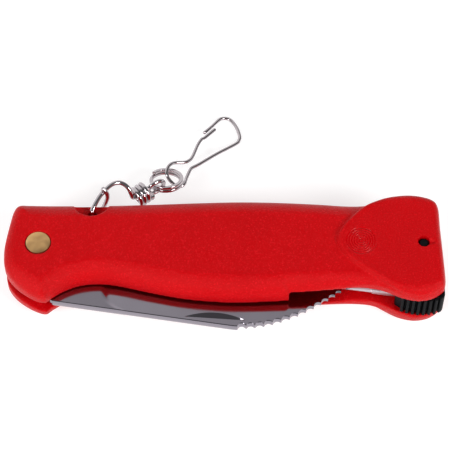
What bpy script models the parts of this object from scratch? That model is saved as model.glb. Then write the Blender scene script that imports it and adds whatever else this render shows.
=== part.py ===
"""Folding rigging knife: a sheepsfoot blade and a marlinspike in one two-shell moulded handle.

The knife lies on its far side.  +X runs from the blade's pivot to the butt, +Y to the closed
back, and +Z out of the near face.  The origin is the middle of the far rivet head's flat face,
on the blade's axis.  Sizes below are in millimetres, and the meshes are made in metres.
"""
import math

import bmesh
import bpy
from mathutils import Matrix, Vector

MM = 0.001
MIDDLE = 9.0                 # height of the plane where the two shells meet
FIT_GAP = 0.3                # gap between pieces that touch

# handle
FACE = 8.0                   # middle plane to the flat face of a shell
PLATEAU_FACE = 9.0           # middle plane to the raised plateau at the butt
SIDE_FOOT = 3.0              # height at which a plateau's wall starts inside the shell
CEILING = 8.9                # underside of the closed back, in Y
BACK_START = -0.5            # the closed back runs between these two places in X
BACK_END = 85.5
SLOT_HALF = 2.3              # half width of the blade slot at the blade's axis
SLOT_GROWTH = 0.0206         # how much wider the slot grows with each mm of X
LIP_HALF = 1.65              # the near lip closes in on the blade to this far from the middle
LIP_TOP = -7.0               # and is this deep, in Y
POCKET_START = 62.8          # the near shell is pocketed wider from here to the butt
POCKET_HALF = 4.3
FAR_LIFT = 1.6               # the far shell's lower edge is this much higher before the butt
POCKET_RELIEF = 0.6          # and its lip steps back by this much

# lanyard eye in the back edge
LANYARD_X, LANYARD_Y = 13.1, 10.2
LANYARD_HOLE = 1.15
SCOOP_X, SCOOP_Y, SCOOP_RADIUS = 12.9, 12.2, 4.4
SCOOP_FLOOR = 4.0

# blade and its rivet
BLADE_HALF = 1.25
BLADE_DROOP = math.radians(8.9)      # the closed blade's spine points this far below +X
SPINE = -12.3                        # spine and edge lines, measured across the blade
EDGE = 7.2
SPINE_START, SPINE_END = 5.6, 50.5   # straight stretch of the spine
TIP = 82.0
HEEL = 12.5
TANG_RADIUS = 6.6
TEETH = 14
TOOTH_DEPTH = 0.5
GRIND_START = 16.0
EDGE_HALF = 0.18
RIVET_HEAD = 3.1
RIVET_SHANK = 1.6
SLEEVE_OUTER, SLEEVE_INNER = 2.3, 1.9
PIVOT_HOLE = 2.6
WASHER_OUTER = 5.2

# back spring
SPRING_HALF = 1.9
SPRING_PINS = (34.0, 58.0)
SPRING_PIN_Y = 6.8
SPRING_PIN_RADIUS = 1.0
SPRING_PIN_HALF = 5.5

# marlinspike, thumb hub and their axle
HUB_X, HUB_Y = 96.6, -0.3
AXLE_RADIUS = 1.2
AXLE_HOLE = 1.5
AXLE_HALF = 8.2
BOSS_RADIUS = 4.6
HUB_HALF = 3.95
SPIKE_NEAR, SPIKE_FAR = -1.6, -3.45  # the spike's root plate, from the middle plane
SPIKE_EYE = 4.4
SPIKE_TIP_X = 36.0
PADDLE_RADIUS = 14.3
NECK_LEFT, NECK_RIGHT = 6.3, 5.1     # the paddle's sides, from the axle
RIB_COUNT = 7
RIBBED = (-115.0, -75.0)     # the ribs run between these two directions from the axle
PADDLE_LEFT = 7.0

# screws that close the back, put in from the far side
SCREWS = ((29.0, 10.9), (70.0, 10.7))
SCREW_HEAD, SCREW_SHANK = 1.5, 0.9
SCREW_SEAT = -5.0
SCREW_END = 4.6

# wires of the lanyard chain
BAIL_WIRE = 0.6
WRAP_WIRE = 0.57
RING_WIRE = 0.42
HOOK_WIRE = 0.475

RED = (0.62, 0.004, 0.008, 1.0)
STEEL = (0.56, 0.55, 0.57, 1.0)
NICKEL = (0.72, 0.70, 0.68, 1.0)
BRASS = (0.60, 0.40, 0.16, 1.0)
BLACK = (0.018, 0.018, 0.022, 1.0)

# Rim of a shell, anticlockwise from the middle of the left end.  Each point is
# (x, y, how far in the flat face starts, how deep the rounding goes, sharp corner or not).
RIM_BELOW = (
    (-8.6, -2.6, 2.4, 2.6, False), (-8.1, -6.2, 2.8, 3.0, False), (-5.9, -9.6, 3.2, 3.8, False),
    (-2.6, -12.3, 3.6, 4.4, False), (0.3, -13.8, 3.9, 4.8, False), (2.1, -14.1, 3.9, 5.0, True),
    (4.0, -12.5, 3.9, 5.0, False), (7.0, -10.6, 4.0, 5.0, False), (10.8, -9.2, 4.0, 5.0, False),
    (15.5, -8.75, 4.1, 5.0, False), (20.5, -9.4, 4.2, 5.0, False), (28.0, -11.2, 4.4, 5.0, False),
    (37.0, -13.0, 4.6, 5.0, False), (47.0, -13.9, 4.6, 5.0, False), (55.0, -13.8, 4.4, 5.0, False),
)
RIM_BELOW_POCKET = (
    (68.5, -12.9, 3.8, 4.4, False), (75.0, -12.2, 3.2, 3.6, False), (80.0, -11.8, 2.6, 2.6, False),
)
RIM_BUTT = (
    (84.0, -11.6, 1.8, 1.8, False), (87.0, -12.5, 1.5, 1.5, False), (90.6, -14.1, 1.8, 2.0, False),
    (94.5, -15.0, 2.2, 2.4, False), (98.0, -14.5, 2.2, 2.4, False), (100.6, -12.9, 1.8, 2.0, False),
    (101.6, -10.8, 1.4, 1.5, False), (101.4, -2.6, 1.4, 1.5, False), (101.1, 4.5, 1.4, 1.5, False),
    (100.9, 10.6, 1.4, 1.5, False), (99.6, 12.7, 1.6, 1.8, False), (96.8, 13.9, 1.9, 2.2, False),
    (93.4, 14.3, 1.9, 2.2, False), (89.6, 13.8, 1.9, 2.1, False), (86.2, 12.8, 2.4, 2.4, False),
)
RIM_BACK = (
    (83.2, 12.5, 4.0, 4.0, False), (78.5, 12.7, 5.0, 5.0, False), (70.0, 13.3, 5.0, 5.0, False),
    (60.0, 13.8, 5.0, 5.0, False), (50.0, 13.95, 5.0, 5.0, False), (39.0, 13.65, 5.0, 5.0, False),
    (27.0, 13.15, 5.0, 5.0, False), (15.0, 12.85, 5.0, 5.0, False), (3.0, 12.8, 5.0, 5.0, False),
    (-3.0, 12.75, 4.4, 4.8, False), (-5.6, 12.2, 3.0, 4.0, False), (-6.8, 10.2, 2.5, 3.0, False),
    (-7.6, 6.0, 2.2, 2.6, False), (-8.4, 1.0, 2.2, 2.6, False),
)
# Raised teardrop at the butt, on the flat face: (x, y), anticlockwise from its point
PLATEAU = (
    (75.0, 0.4, 0.6), (76.4, -3.0, 0.6), (79.2, -6.0, 0.6), (83.2, -9.1, 0.7),
    (87.2, -12.0, 1.0), (90.7, -13.95, 1.8), (94.5, -14.8, 2.4), (97.9, -14.3, 2.4),
    (100.4, -12.75, 2.2), (101.4, -10.7, 2.0), (101.2, -2.6, 2.0), (100.9, 4.5, 2.0),
    (100.7, 10.5, 1.9), (99.45, 12.55, 2.1), (96.7, 13.7, 2.4), (93.4, 14.1, 2.4),
    (89.7, 13.6, 2.0), (86.3, 12.5, 1.4), (82.2, 10.3, 0.8), (78.6, 6.9, 0.6),
    (76.0, 3.6, 0.6),
)

# Middle line of the lanyard bail, from the wound coil over to the near end of the lanyard hole
BAIL_NEAR = (
    (27.0, 20.3, 0.75), (25.6, 19.15, 0.75), (24.2, 18.05, 0.75), (23.1, 17.2, 1.2),
    (22.7, 17.3, 2.8), (22.1, 18.1, 4.1), (21.0, 18.9, 4.8), (19.6, 19.2, 5.2),
    (17.7, 18.2, 5.7),
    (15.4, 15.3, 6.1), (14.0, 12.7, 6.0), (13.2, 10.9, 5.5), (13.1, 10.2, 4.6),
)
# From the far end of the hole, up behind the back edge and over the wire's own start
BAIL_LOOP = (
    (13.1, 10.3, -4.6), (13.3, 12.2, -6.1), (14.2, 14.4, -4.6), (15.4, 15.3, -1.0),
    (16.3, 15.2, 2.2), (16.8, 15.2, 4.8), (16.5, 15.5, 6.7), (15.7, 15.9, 7.6),
)
BAIL_TAIL = ((24.9, 18.6, -0.75), (26.1, 19.5, -0.75), (26.95, 20.2, -1.25))    # in the coil
EYE_CENTRE = (28.9, 21.5, -0.75)
EYE_RADIUS = 2.3
WRAP_START, WRAP_END = (23.9, 17.8, 0.0), (26.75, 20.05, 0.0)
WRAP_RADIUS = 2.35
WRAP_TURNS = 3.0
RING_CENTRE = (31.55, 24.4, -2.1)
RING_RADIUS = 3.95
RING_TILT = math.radians(-25.0)
RING_TURNS = 1.85
RING_PITCH = 0.92
HOOK_ROUTE = (
    (41.3, 41.9, -6.2), (43.2, 44.3, -7.0), (45.3, 47.2, -7.9), (46.5, 47.9, -8.3),
    (48.0, 47.7, -8.4), (49.2, 46.4, -8.4), (50.2, 44.4, -8.4), (50.8, 42.1, -8.4),
    (50.6, 40.9, -8.3), (49.7, 39.5, -8.0), (44.7, 35.5, -6.6), (40.0, 31.4, -5.3),
    (38.1, 29.9, -4.8), (37.5, 28.7, -4.5), (36.7, 26.2, -4.0), (36.2, 24.3, -3.6),
    (35.2, 23.4, -3.5), (33.8, 23.7, -3.3), (32.3, 25.0, -2.8), (31.6, 26.4, -2.0),
    (31.8, 28.0, -1.8), (32.6, 29.3, -2.0), (33.8, 30.3, -2.8), (36.0, 30.9, -3.6),
    (37.2, 31.7, -4.1), (38.2, 33.3, -4.7), (39.6, 37.6, -5.5), (40.6, 39.6, -5.9),
    (41.5, 40.4, -6.2), (44.1, 43.2, -6.6),
)


def clear_scene():
    """Remove the objects of the open file."""
    for item in list(bpy.data.objects):
        bpy.data.objects.remove(item, do_unlink=True)


def new_collection(name):
    """Add a collection to the scene."""
    group = bpy.data.collections.new(name)
    bpy.context.scene.collection.children.link(group)
    return group


clear_scene()
KNIFE = new_collection("rigging_knife")
CUTTERS = new_collection("cutters")


def material(name, colour, roughness, metallic):
    """One Principled material for a sub-part."""
    made = bpy.data.materials.new(name)
    made.use_nodes = True
    shader = made.node_tree.nodes["Principled BSDF"]
    shader.inputs["Base Color"].default_value = colour
    shader.inputs["Roughness"].default_value = roughness
    shader.inputs["Metallic"].default_value = metallic
    return made


def place(point):
    """Millimetres from the middle plane to metres in the part's frame."""
    x, y, z = point
    return Vector((x * MM, y * MM, (z + MIDDLE) * MM))


def axis_empty(name, x, y, z=0.0):
    """An empty on a joint's axis."""
    empty = bpy.data.objects.new(name, None)
    empty.location = place((x, y, z))
    KNIFE.objects.link(empty)
    return empty


def add(name, bm, finish=None, parent=None, smooth=True):
    """Make an object of a mesh whose points are in metres in the part's frame."""
    bmesh.ops.recalc_face_normals(bm, faces=bm.faces)
    mesh = bpy.data.meshes.new(name)
    bm.to_mesh(mesh)
    bm.free()
    if smooth:
        mesh.shade_smooth()
        mesh.set_sharp_from_angle(angle=math.radians(35))
    item = bpy.data.objects.new(name, mesh)
    if finish is None:
        CUTTERS.objects.link(item)
        item.hide_render = True
        item.display_type = "WIRE"
    else:
        KNIFE.objects.link(item)
        mesh.materials.append(material(name + "_finish", *finish))
    if parent is not None:
        mesh.transform(Matrix.Translation(-parent.location))
        item.parent = parent
    return item


def loft(rings):
    """Closed skin over a list of rings with equal numbers of points, flat at both ends."""
    bm = bmesh.new()
    rows = [[bm.verts.new(point) for point in ring] for ring in rings]
    count = len(rings[0])
    for low, high in zip(rows, rows[1:]):
        for here in range(count):
            there = (here + 1) % count
            bm.faces.new((low[here], low[there], high[there], high[here]))
    bm.faces.new(rows[0])
    bm.faces.new(rows[-1])
    return bm


def slab(outline, low, high):
    """A flat outline between two heights."""
    return loft([[place((x, y, z)) for x, y in outline] for z in (low, high)])


def cylinder(x, y, radius, low, high, segments=32):
    """A round bar along Z between two heights."""
    bm = bmesh.new()
    middle = place((x, y, (low + high) / 2))
    bmesh.ops.create_cone(bm, cap_ends=True, segments=segments, radius1=radius * MM,
                          radius2=radius * MM, depth=(high - low) * MM,
                          matrix=Matrix.Translation(middle))
    return bm


def turned(name, profile, x, y, finish, steps=32):
    """A profile of (radius, height) turned about Z, top to bottom on its outer side.

    A profile that starts on the axis ends there too, and any other is closed on itself.
    """
    mesh = bpy.data.meshes.new(name)
    points = [place((radius, 0.0, height)) for radius, height in profile]
    edges = [(n, n + 1) for n in range(len(points) - 1)]
    if profile[0][0] > 0.0:
        edges.append((len(points) - 1, 0))
    mesh.from_pydata(points, edges, [])
    mesh.materials.append(material(name + "_finish", *finish))
    item = bpy.data.objects.new(name, mesh)
    KNIFE.objects.link(item)
    item.location = (x * MM, y * MM, 0.0)
    screw = item.modifiers.new("turn", "SCREW")
    screw.steps = steps
    screw.render_steps = steps
    screw.use_merge_vertices = True
    screw.merge_threshold = 0.00001
    return item


def cut(item, cutter, operation="DIFFERENCE"):
    """Cut an object by a cutter, or join the cutter to it."""
    modifier = item.modifiers.new(cutter.name, "BOOLEAN")
    modifier.operation = operation
    modifier.object = cutter
    modifier.solver = "EXACT"
    return modifier


def arc(x, y, radius, start, end, count):
    """Points along an arc, angles in degrees."""
    angles = [math.radians(start + (end - start) * n / (count - 1)) for n in range(count)]
    return [(x + radius * math.cos(a), y + radius * math.sin(a)) for a in angles]


def smooth_route(points, steps):
    """Points along the Catmull-Rom curve through a list of places, ends kept."""
    places = [Vector(point) for point in points]
    padded = [2 * places[0] - places[1]] + places + [2 * places[-1] - places[-2]]
    route = []
    for n in range(1, len(padded) - 2):
        for step in range(steps):
            route.append(curve_point(padded[n - 1:n + 3], step / steps))
    return route + [places[-1]]


def curve_point(four, t):
    """Point at t from 0 to 1 on the Catmull-Rom stretch between the middle two of four."""
    a, b, c, d = four
    return 0.5 * (2 * b + (c - a) * t + (2 * a - 5 * b + 4 * c - d) * t ** 2
                  + (3 * b - a - 3 * c + d) * t ** 3)


def smooth_rim(controls, corners, steps):
    """Closed Catmull-Rom curve through the controls, broken at the corners."""
    count = len(controls)
    rim = []
    for n in range(count):
        four = [controls[(n + k) % count] for k in (-1, 0, 1, 2)]
        if corners[n]:
            four[0] = 2 * four[1] - four[2]
        if corners[(n + 1) % count]:
            four[3] = 2 * four[2] - four[1]
        rim.extend(curve_point(four, step / steps) for step in range(steps))
    return rim


def mitred(points, insets):
    """Move each point of an anticlockwise outline inwards by its inset, mitred."""
    count = len(points)
    moved = []
    for n, here in enumerate(points):
        before = (here - points[n - 1]).normalized()
        after = (points[(n + 1) % count] - here).normalized()
        left_before = Vector((-before.y, before.x))
        left_after = Vector((-after.y, after.x))
        bisector = (left_before + left_after).normalized()
        moved.append(here + bisector * insets[n] / max(bisector.dot(left_after), 0.55))
    return moved


def rim_controls(relief):
    """Control points of a shell's rim; a relief steps the lip back over the pocket."""
    step = POCKET_START
    pocket = [(x, y + relief, inset, drop, corner)
              for x, y, inset, drop, corner in RIM_BELOW_POCKET]
    lip = [(step - 0.1, -13.35, 4.1, 4.8, True), (step + 0.1, -13.3 + relief, 4.0, 4.7, True)]
    return list(RIM_BELOW) + lip + pocket + list(RIM_BUTT) + list(RIM_BACK)


def raised(x, y, side):
    """Height of an outline point; the far shell's lower edge rises towards the butt."""
    if side > 0:
        return y
    along = min(max((x - 50.0) / 14.0, 0.0), 1.0)
    faded = 1.0 - 0.7 * min(max((x - 80.0) / 14.0, 0.0), 1.0)
    return y + FAR_LIFT * along * faded * min(max((-y - 6.0) / 5.0, 0.0), 1.0)


def shell_body(relief, side):
    """Half of the handle as a solid, side +1 for the near one and -1 for the far one."""
    controls = [(x, raised(x, y, side), *rest) for x, y, *rest in rim_controls(relief)]
    corners = [control[4] for control in controls]
    outer = [Vector(control[:2]) for control in controls]
    inner = mitred(outer, [control[2] for control in controls])
    drops = [Vector((control[3], 0.0)) for control in controls]
    steps = 3
    outer, inner, drops = (smooth_rim(line, corners, steps) for line in (outer, inner, drops))
    rings = [[place((p.x, p.y, 0.0)) for p in outer]]
    levels = 5
    for level in range(levels + 1):
        turn = math.radians(90.0 * level / levels)
        ring = []
        for rim, face, drop in zip(outer, inner, drops):
            flat = rim.lerp(face, 1.0 - math.cos(turn))
            height = FACE - drop.x * (1.0 - math.sin(turn))
            ring.append(place((flat.x, flat.y, side * height)))
        rings.append(ring)
    return loft(rings)


def plateau_body(side):
    """The raised teardrop, whose top edge is rounded by the last number of each point."""
    points = [Vector((x, raised(x, y, side))) for x, y, _ in PLATEAU]
    edges = [edge for _, _, edge in PLATEAU]
    corners = [False] * len(points)
    rings = [[place((p.x, p.y, side * SIDE_FOOT)) for p in smooth_rim(points, corners, 3)]]
    for angle in (0.0, 30.0, 60.0, 90.0):
        turn = math.radians(angle)
        moved = mitred(points, [edge * (1.0 - math.cos(turn)) for edge in edges])
        line = smooth_rim(moved, corners, 3)
        down = smooth_rim([Vector((edge, 0.0)) for edge in edges], corners, 3)
        rings.append([place((p.x, p.y, side * (PLATEAU_FACE - d.x * (1.0 - math.sin(turn)))))
                      for p, d in zip(line, down)])
    return loft(rings)


def slot_half(x):
    """Half width of the slot between the shells at a place along the handle."""
    return SLOT_HALF + SLOT_GROWTH * x


def slot_cutter(name, side):
    """The wedge-shaped slot, open below, at the left end and round the butt.

    In the near shell it stays above the lip, which lip_cutter opens less far.
    """
    start = -30.0 if side < 0 else LIP_TOP
    outline = ((-20.0, start), (POCKET_START + 0.1, start), (POCKET_START + 0.1, -30.0),
               (115.0, -30.0), (115.0, 25.0), (BACK_END, 25.0),
               (BACK_END - 0.8, CEILING), (BACK_START, CEILING), (BACK_START, 25.0), (-20.0, 25.0))
    low = [place((x, y, -side)) for x, y in outline]
    high = [place((x, y, side * slot_half(x))) for x, y in outline]
    return add(name, loft([low, high]))


def lip_cutter(name, side):
    """The narrow opening between the lips beside the blade."""
    outline = ((-20.0, -30.0), (POCKET_START + 0.2, -30.0), (POCKET_START + 0.2, LIP_TOP + 0.1),
               (-20.0, LIP_TOP + 0.1))
    return add(name, slab(outline, *sorted((-side, side * LIP_HALF))))


def make_shell(name, side, relief, finish):
    """One handle shell with its slot, lanyard scoop, bores and pockets."""
    tag = "near" if side > 0 else "far"
    shell = add(name, shell_body(relief, side), finish)
    cut(shell, add(tag + "_plateau", plateau_body(side)), "UNION")
    cut(shell, slot_cutter(tag + "_slot", side))
    cut(shell, lip_cutter(tag + "_lip", side))
    low, high = sorted((side * SCOOP_FLOOR, side * 12.0))
    scoop = add(tag + "_scoop", cylinder(SCOOP_X, SCOOP_Y, SCOOP_RADIUS, low, high, 40))
    cut(shell, scoop)
    low, high = sorted((-side, side * 12.0))
    hole = cylinder(LANYARD_X, LANYARD_Y, LANYARD_HOLE, low, high, 24)
    cut(shell, add(tag + "_lanyard_hole", hole))
    cut(shell, add(tag + "_axle_hole", cylinder(HUB_X, HUB_Y, AXLE_HOLE, low, high)))
    cut(shell, add(tag + "_pivot_hole", cylinder(0.0, 0.0, PIVOT_HOLE, low, high)))
    seat = sorted((side * (FACE - 1.5), side * 12.0))
    cut(shell, add(tag + "_rivet_seat", cylinder(0.0, 0.0, RIVET_HEAD + 0.2, *seat, 40)))
    socket = sorted((side, side * (SPRING_PIN_HALF + FIT_GAP)))
    for n, x in enumerate(SPRING_PINS):
        bore = cylinder(x, SPRING_PIN_Y, SPRING_PIN_RADIUS + FIT_GAP, *socket, 20)
        cut(shell, add(f"{tag}_pin_socket_{n + 1}", bore))
    return shell


def make_shells():
    """Both shells: the near one is pocketed over the spike, the far one takes the screws."""
    near = make_shell("near_handle_shell", 1.0, POCKET_RELIEF, (RED, 0.42, 0.0))
    outline = ((POCKET_START, -30.0), (115.0, -30.0), (115.0, 25.0), (BACK_END, 25.0),
               (BACK_END - 0.8, CEILING), (POCKET_START, CEILING))
    cut(near, add("near_pocket", slab(outline, -1.0, POCKET_HALF)))
    groove = ((HUB_X, HUB_Y - 0.75), (HUB_X + 2.6, HUB_Y - 0.6),
              (HUB_X + 2.9, HUB_Y), (HUB_X + 2.6, HUB_Y + 0.6), (HUB_X, HUB_Y + 0.75))
    cut(near, add("axle_lead_in", slab(groove, PLATEAU_FACE - 0.5, 12.0)))
    far = make_shell("far_handle_shell", -1.0, 0.0, (RED, 0.42, 0.0))
    for n, (x, y) in enumerate(SCREWS):
        head = cylinder(x, y, SCREW_HEAD + FIT_GAP, -12.0, SCREW_SEAT, 20)
        cut(far, add(f"screw_seat_{n + 1}", head))
        cut(far, add(f"screw_bore_{n + 1}", cylinder(x, y, SCREW_SHANK + FIT_GAP, -9.0, 1.0, 20)))
        bore = cylinder(x, y, SCREW_SHANK + FIT_GAP, -1.0, SCREW_END + FIT_GAP, 20)
        cut(near, add(f"screw_socket_{n + 1}", bore))


def part_shells():
    """Leave the two shells a hair apart where they meet at the middle plane."""
    for name, side in (("near_handle_shell", 1.0), ("far_handle_shell", -1.0)):
        shave = [(-20.0, -30.0), (115.0, -30.0), (115.0, 25.0), (-20.0, 25.0)]
        cutter = add(name + "_parting", slab(shave, -side * 2.0, side * FIT_GAP / 2))
        cut(bpy.data.objects[name], cutter)


def along_blade(u, v):
    """A place along and across the blade, as X and Y in the closed pose."""
    c, s = math.cos(BLADE_DROOP), math.sin(BLADE_DROOP)
    return (c * u + s * v, -s * u + c * v)


def belly_point(t):
    """Point at t from 0 to 1 on the curve from the end of the spine to the tip."""
    ends = ((SPINE_END, SPINE), (SPINE_END + 14.0, SPINE), (TIP - 5.0, 1.5), (TIP, EDGE))
    weights = ((1 - t) ** 3, 3 * t * (1 - t) ** 2, 3 * t ** 2 * (1 - t), t ** 3)
    return Vector((sum(w * p[0] for w, p in zip(weights, ends)),
                   sum(w * p[1] for w, p in zip(weights, ends))))


def serrated_belly():
    """The curve to the tip, with a row of hollows cut across its first stretch."""
    first, last = 0.045, 0.80
    per_tooth = 4
    points = [belly_point(0.0)]
    count = TEETH * per_tooth
    for n in range(count + 1):
        t = first + (last - first) * n / count
        here = belly_point(t)
        ahead = (belly_point(t + 0.01) - here).normalized()
        inward = Vector((-ahead.y, ahead.x))
        hollow = math.sin(math.pi * (n % per_tooth) / per_tooth)
        points.append(here + inward * (TOOTH_DEPTH * hollow + 0.25))
    points.extend(belly_point(last + (1.0 - last) * n / 5) for n in range(1, 6))
    return [tuple(point) for point in points]


def blade_outline():
    """Outline of the blade along and across it, with its round tang."""
    tang = arc(0.0, 0.0, TANG_RADIUS, 47.0, 301.0, 28)
    shoulder = [(4.7, -11.5), (4.95, -12.05), (SPINE_START, SPINE)]
    heel = [(HEEL, EDGE), (HEEL - 1.0, EDGE - 1.8)]
    return serrated_belly() + heel + tang + shoulder


def make_blade(axis):
    """Sheepsfoot blade: flat stock, ground from both sides down to a thin straight edge."""
    outline = [along_blade(u, v) for u, v in blade_outline()]
    blade = add("blade", slab(outline, -BLADE_HALF, BLADE_HALF), (STEEL, 0.22, 1.0), axis)
    cut(blade, add("blade_pivot_hole", cylinder(0.0, 0.0, PIVOT_HOLE, -5.0, 5.0)))
    ends = (GRIND_START, TIP + 10.0)
    for side in (1.0, -1.0):
        section = ((SPINE + 4.0, side * BLADE_HALF), (EDGE + 1.0, side * EDGE_HALF),
                   (EDGE + 1.0, side * 3.0), (SPINE + 4.0, side * 3.0))
        rings = []
        for u in ends:
            lean = 4.0 if u == GRIND_START else 0.0
            ring = []
            for n, (v, z) in enumerate(section):
                x, y = along_blade(u + (lean if n in (0, 3) else 0.0), v)
                ring.append(place((x, y, z)))
            rings.append(ring)
        cut(blade, add("near_grind" if side > 0 else "far_grind", loft(rings)))


def washer(name, x, y, inner, outer, low, high, finish):
    """A flat ring about Z."""
    profile = ((outer, high), (outer, low), (inner, low), (inner, high))
    return turned(name, profile, x, y, finish)


def make_pivot():
    """Two-part rivet with a flat head each side, and the two washers beside the blade."""
    head_top = FACE - 0.15
    head_low = FACE - 1.1
    shank_end = -6.4
    profile = ((0.0, head_top), (RIVET_HEAD - 0.2, head_top), (RIVET_HEAD, head_top - 0.2),
               (RIVET_HEAD, head_low), (RIVET_SHANK, head_low), (RIVET_SHANK, shank_end),
               (0.0, shank_end))
    turned("pivot_rivet", profile, 0.0, 0.0, (BRASS, 0.30, 1.0), steps=40)
    seat = -FACE + 1.2
    rest = -MIDDLE
    bore_end = shank_end - 0.4
    profile = ((0.0, bore_end), (SLEEVE_INNER, bore_end), (SLEEVE_INNER, head_low - FIT_GAP),
               (SLEEVE_OUTER, head_low - FIT_GAP), (SLEEVE_OUTER, seat), (RIVET_HEAD, seat),
               (RIVET_HEAD, rest + 0.2), (RIVET_HEAD - 0.2, rest), (0.0, rest))
    turned("pivot_sleeve", profile, 0.0, 0.0, (BRASS, 0.30, 1.0), steps=40)
    steel = (STEEL, 0.35, 1.0)
    washer("near_pivot_washer", 0.0, 0.0, PIVOT_HOLE, WASHER_OUTER, 1.5, 2.0, steel)
    washer("far_pivot_washer", 0.0, 0.0, PIVOT_HOLE, WASHER_OUTER, -2.0, -1.5, steel)


def make_spring():
    """Two-ended leaf spring under the back: one end rides the tang, the other the hub."""
    top = CEILING - 0.3
    outline = ((-3.2, 6.95), (6.0, 6.95), (16.0, 6.8), (27.0, 5.3), (34.0, 5.0), (58.0, 5.0),
               (66.0, 5.4), (76.0, 6.8), (86.0, 6.9), (89.3, 6.2), (90.1, 3.6), (91.0, 3.9),
               (90.7, 7.2), (87.6, top), (-3.2, top))
    spring = add("back_spring", slab(outline, -SPRING_HALF, SPRING_HALF), (STEEL, 0.4, 1.0))
    for n, x in enumerate(SPRING_PINS):
        bore = cylinder(x, SPRING_PIN_Y, SPRING_PIN_RADIUS + 0.15, -9.0, 9.0, 20)
        cut(spring, add(f"spring_bore_{n + 1}", bore))
        name = ("front_spring_pin", "rear_spring_pin")[n]
        pin = cylinder(x, SPRING_PIN_Y, SPRING_PIN_RADIUS, -SPRING_PIN_HALF, SPRING_PIN_HALF, 20)
        add(name, pin, (STEEL, 0.35, 1.0))


def make_spike(axis):
    """Tapered spike with a flat root and an eye round the axle, on the far side of the blade."""
    middle = (SPIKE_NEAR + SPIKE_FAR) / 2
    half = (SPIKE_NEAR - SPIKE_FAR) / 2
    eye = arc(HUB_X, HUB_Y, SPIKE_EYE, -128.0, 158.0, 26)
    plate = eye + [(89.2, -1.7), (84.0, -1.8), (84.0, -8.6), (89.2, -9.4), (92.0, -9.3)]
    spike = add("marlinspike", slab(plate, SPIKE_FAR, SPIKE_NEAR), (NICKEL, 0.3, 1.0), axis)
    rings = []
    stations = 9
    for n in range(stations):
        t = n / (stations - 1)
        x = 86.0 + (SPIKE_TIP_X - 86.0) * t
        lower = -8.95 + (86.0 - x) * 0.135
        upper = -1.75 + 0.25 * t
        tip = min(1.0, 4.0 * (1.0 - t) + 0.12) ** 0.5
        tall = (upper - lower) / 2 * tip
        deep = (half - 0.05) * (1.0 - 0.5 * t) * tip
        centre = middle + 0.30 * t
        sides = 20
        turn = [2 * math.pi * k / sides for k in range(sides)]
        rings.append([place((x, (upper + lower) / 2 + tall * math.cos(a),
                             centre + deep * math.sin(a))) for a in turn])
    cut(spike, add("spike_taper", loft(rings)), "UNION")
    cut(spike, add("spike_eye", cylinder(HUB_X, HUB_Y, AXLE_HOLE, -9.0, 9.0)))


def paddle_outline(top):
    """The ribbed paddle below the hub: flat at the left, ribs round the end, smooth corner."""
    points = [(HUB_X - PADDLE_LEFT, top), (HUB_X - PADDLE_LEFT, HUB_Y - 11.2)]
    first, last = RIBBED
    for n in range(RIB_COUNT):
        for k, radius in ((0.0, -0.45), (0.2, 0.0), (0.62, 0.0), (0.82, -0.45)):
            angle = math.radians(first + (last - first) * (n + k) / RIB_COUNT)
            reach = PADDLE_RADIUS + radius
            points.append((HUB_X + reach * math.cos(angle), HUB_Y + reach * math.sin(angle)))
    points += arc(HUB_X + 3.5, HUB_Y - 12.0, 1.6, -75.0, -10.0, 5)
    points.append((HUB_X + NECK_RIGHT, top))
    return points


def make_hub(axis):
    """Moulded thumb hub: a boss on the axle and a paddle with ribs along the axle's direction."""
    black = (BLACK, 0.55, 0.0)
    deep = HUB_Y - 10.1
    hub = add("thumb_hub", slab(paddle_outline(deep), -HUB_HALF, HUB_HALF), black, axis)
    left, right = HUB_X - NECK_LEFT + 0.3, HUB_X + NECK_RIGHT - 0.5
    neck = ((left, HUB_Y + 2.0), (left, HUB_Y - 11.5), (right, HUB_Y - 11.5), (right, HUB_Y),
            (HUB_X, HUB_Y + BOSS_RADIUS - 0.4), (left + 1.2, HUB_Y + 3.2))
    cut(hub, add("hub_neck", slab(neck, SPIKE_NEAR + FIT_GAP, 3.4)), "UNION")
    boss = cylinder(HUB_X, HUB_Y, BOSS_RADIUS, SPIKE_NEAR + FIT_GAP, 3.45, 40)
    cut(hub, add("hub_boss", boss), "UNION")
    cut(hub, add("hub_bore", cylinder(HUB_X, HUB_Y, AXLE_HOLE, -9.0, 9.0)))
    washer("near_hub_washer", HUB_X, HUB_Y, AXLE_HOLE, 4.2, 3.7, 4.05, (STEEL, 0.35, 1.0))
    washer("far_hub_washer", HUB_X, HUB_Y, AXLE_HOLE, 4.2, -4.05, -3.7, (STEEL, 0.35, 1.0))
    add("hub_axle", cylinder(HUB_X, HUB_Y, AXLE_RADIUS, -AXLE_HALF, AXLE_HALF, 24),
        (BLACK, 0.4, 0.0))


def make_screws():
    """The screws, put in from the far side."""
    for name, (x, y) in zip(("front_screw", "rear_screw"), SCREWS):
        profile = ((0.0, SCREW_END), (SCREW_SHANK, SCREW_END), (SCREW_SHANK, SCREW_SEAT - 0.1),
                   (SCREW_HEAD, SCREW_SEAT - 0.1), (SCREW_HEAD, SCREW_SEAT - 1.3),
                   (0.0, SCREW_SEAT - 1.3))
        turned(name, profile, x, y, (STEEL, 0.35, 1.0), steps=20)


def wire(name, route, radius, finish, axis):
    """A round wire with filled ends along a route in millimetres from the middle plane."""
    data = bpy.data.curves.new(name, "CURVE")
    data.dimensions = "3D"
    data.bevel_depth = radius * MM
    data.bevel_resolution = 2
    data.use_fill_caps = True
    data.render_resolution_u = 0
    spline = data.splines.new("POLY")
    spline.points.add(len(route) - 1)
    for point, spot in zip(spline.points, route):
        local = place(spot) - axis.location
        point.co = (local.x, local.y, local.z, 1.0)
    data.materials.append(material(name + "_finish", *finish))
    item = bpy.data.objects.new(name, data)
    item.parent = axis
    KNIFE.objects.link(item)
    return item


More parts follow.
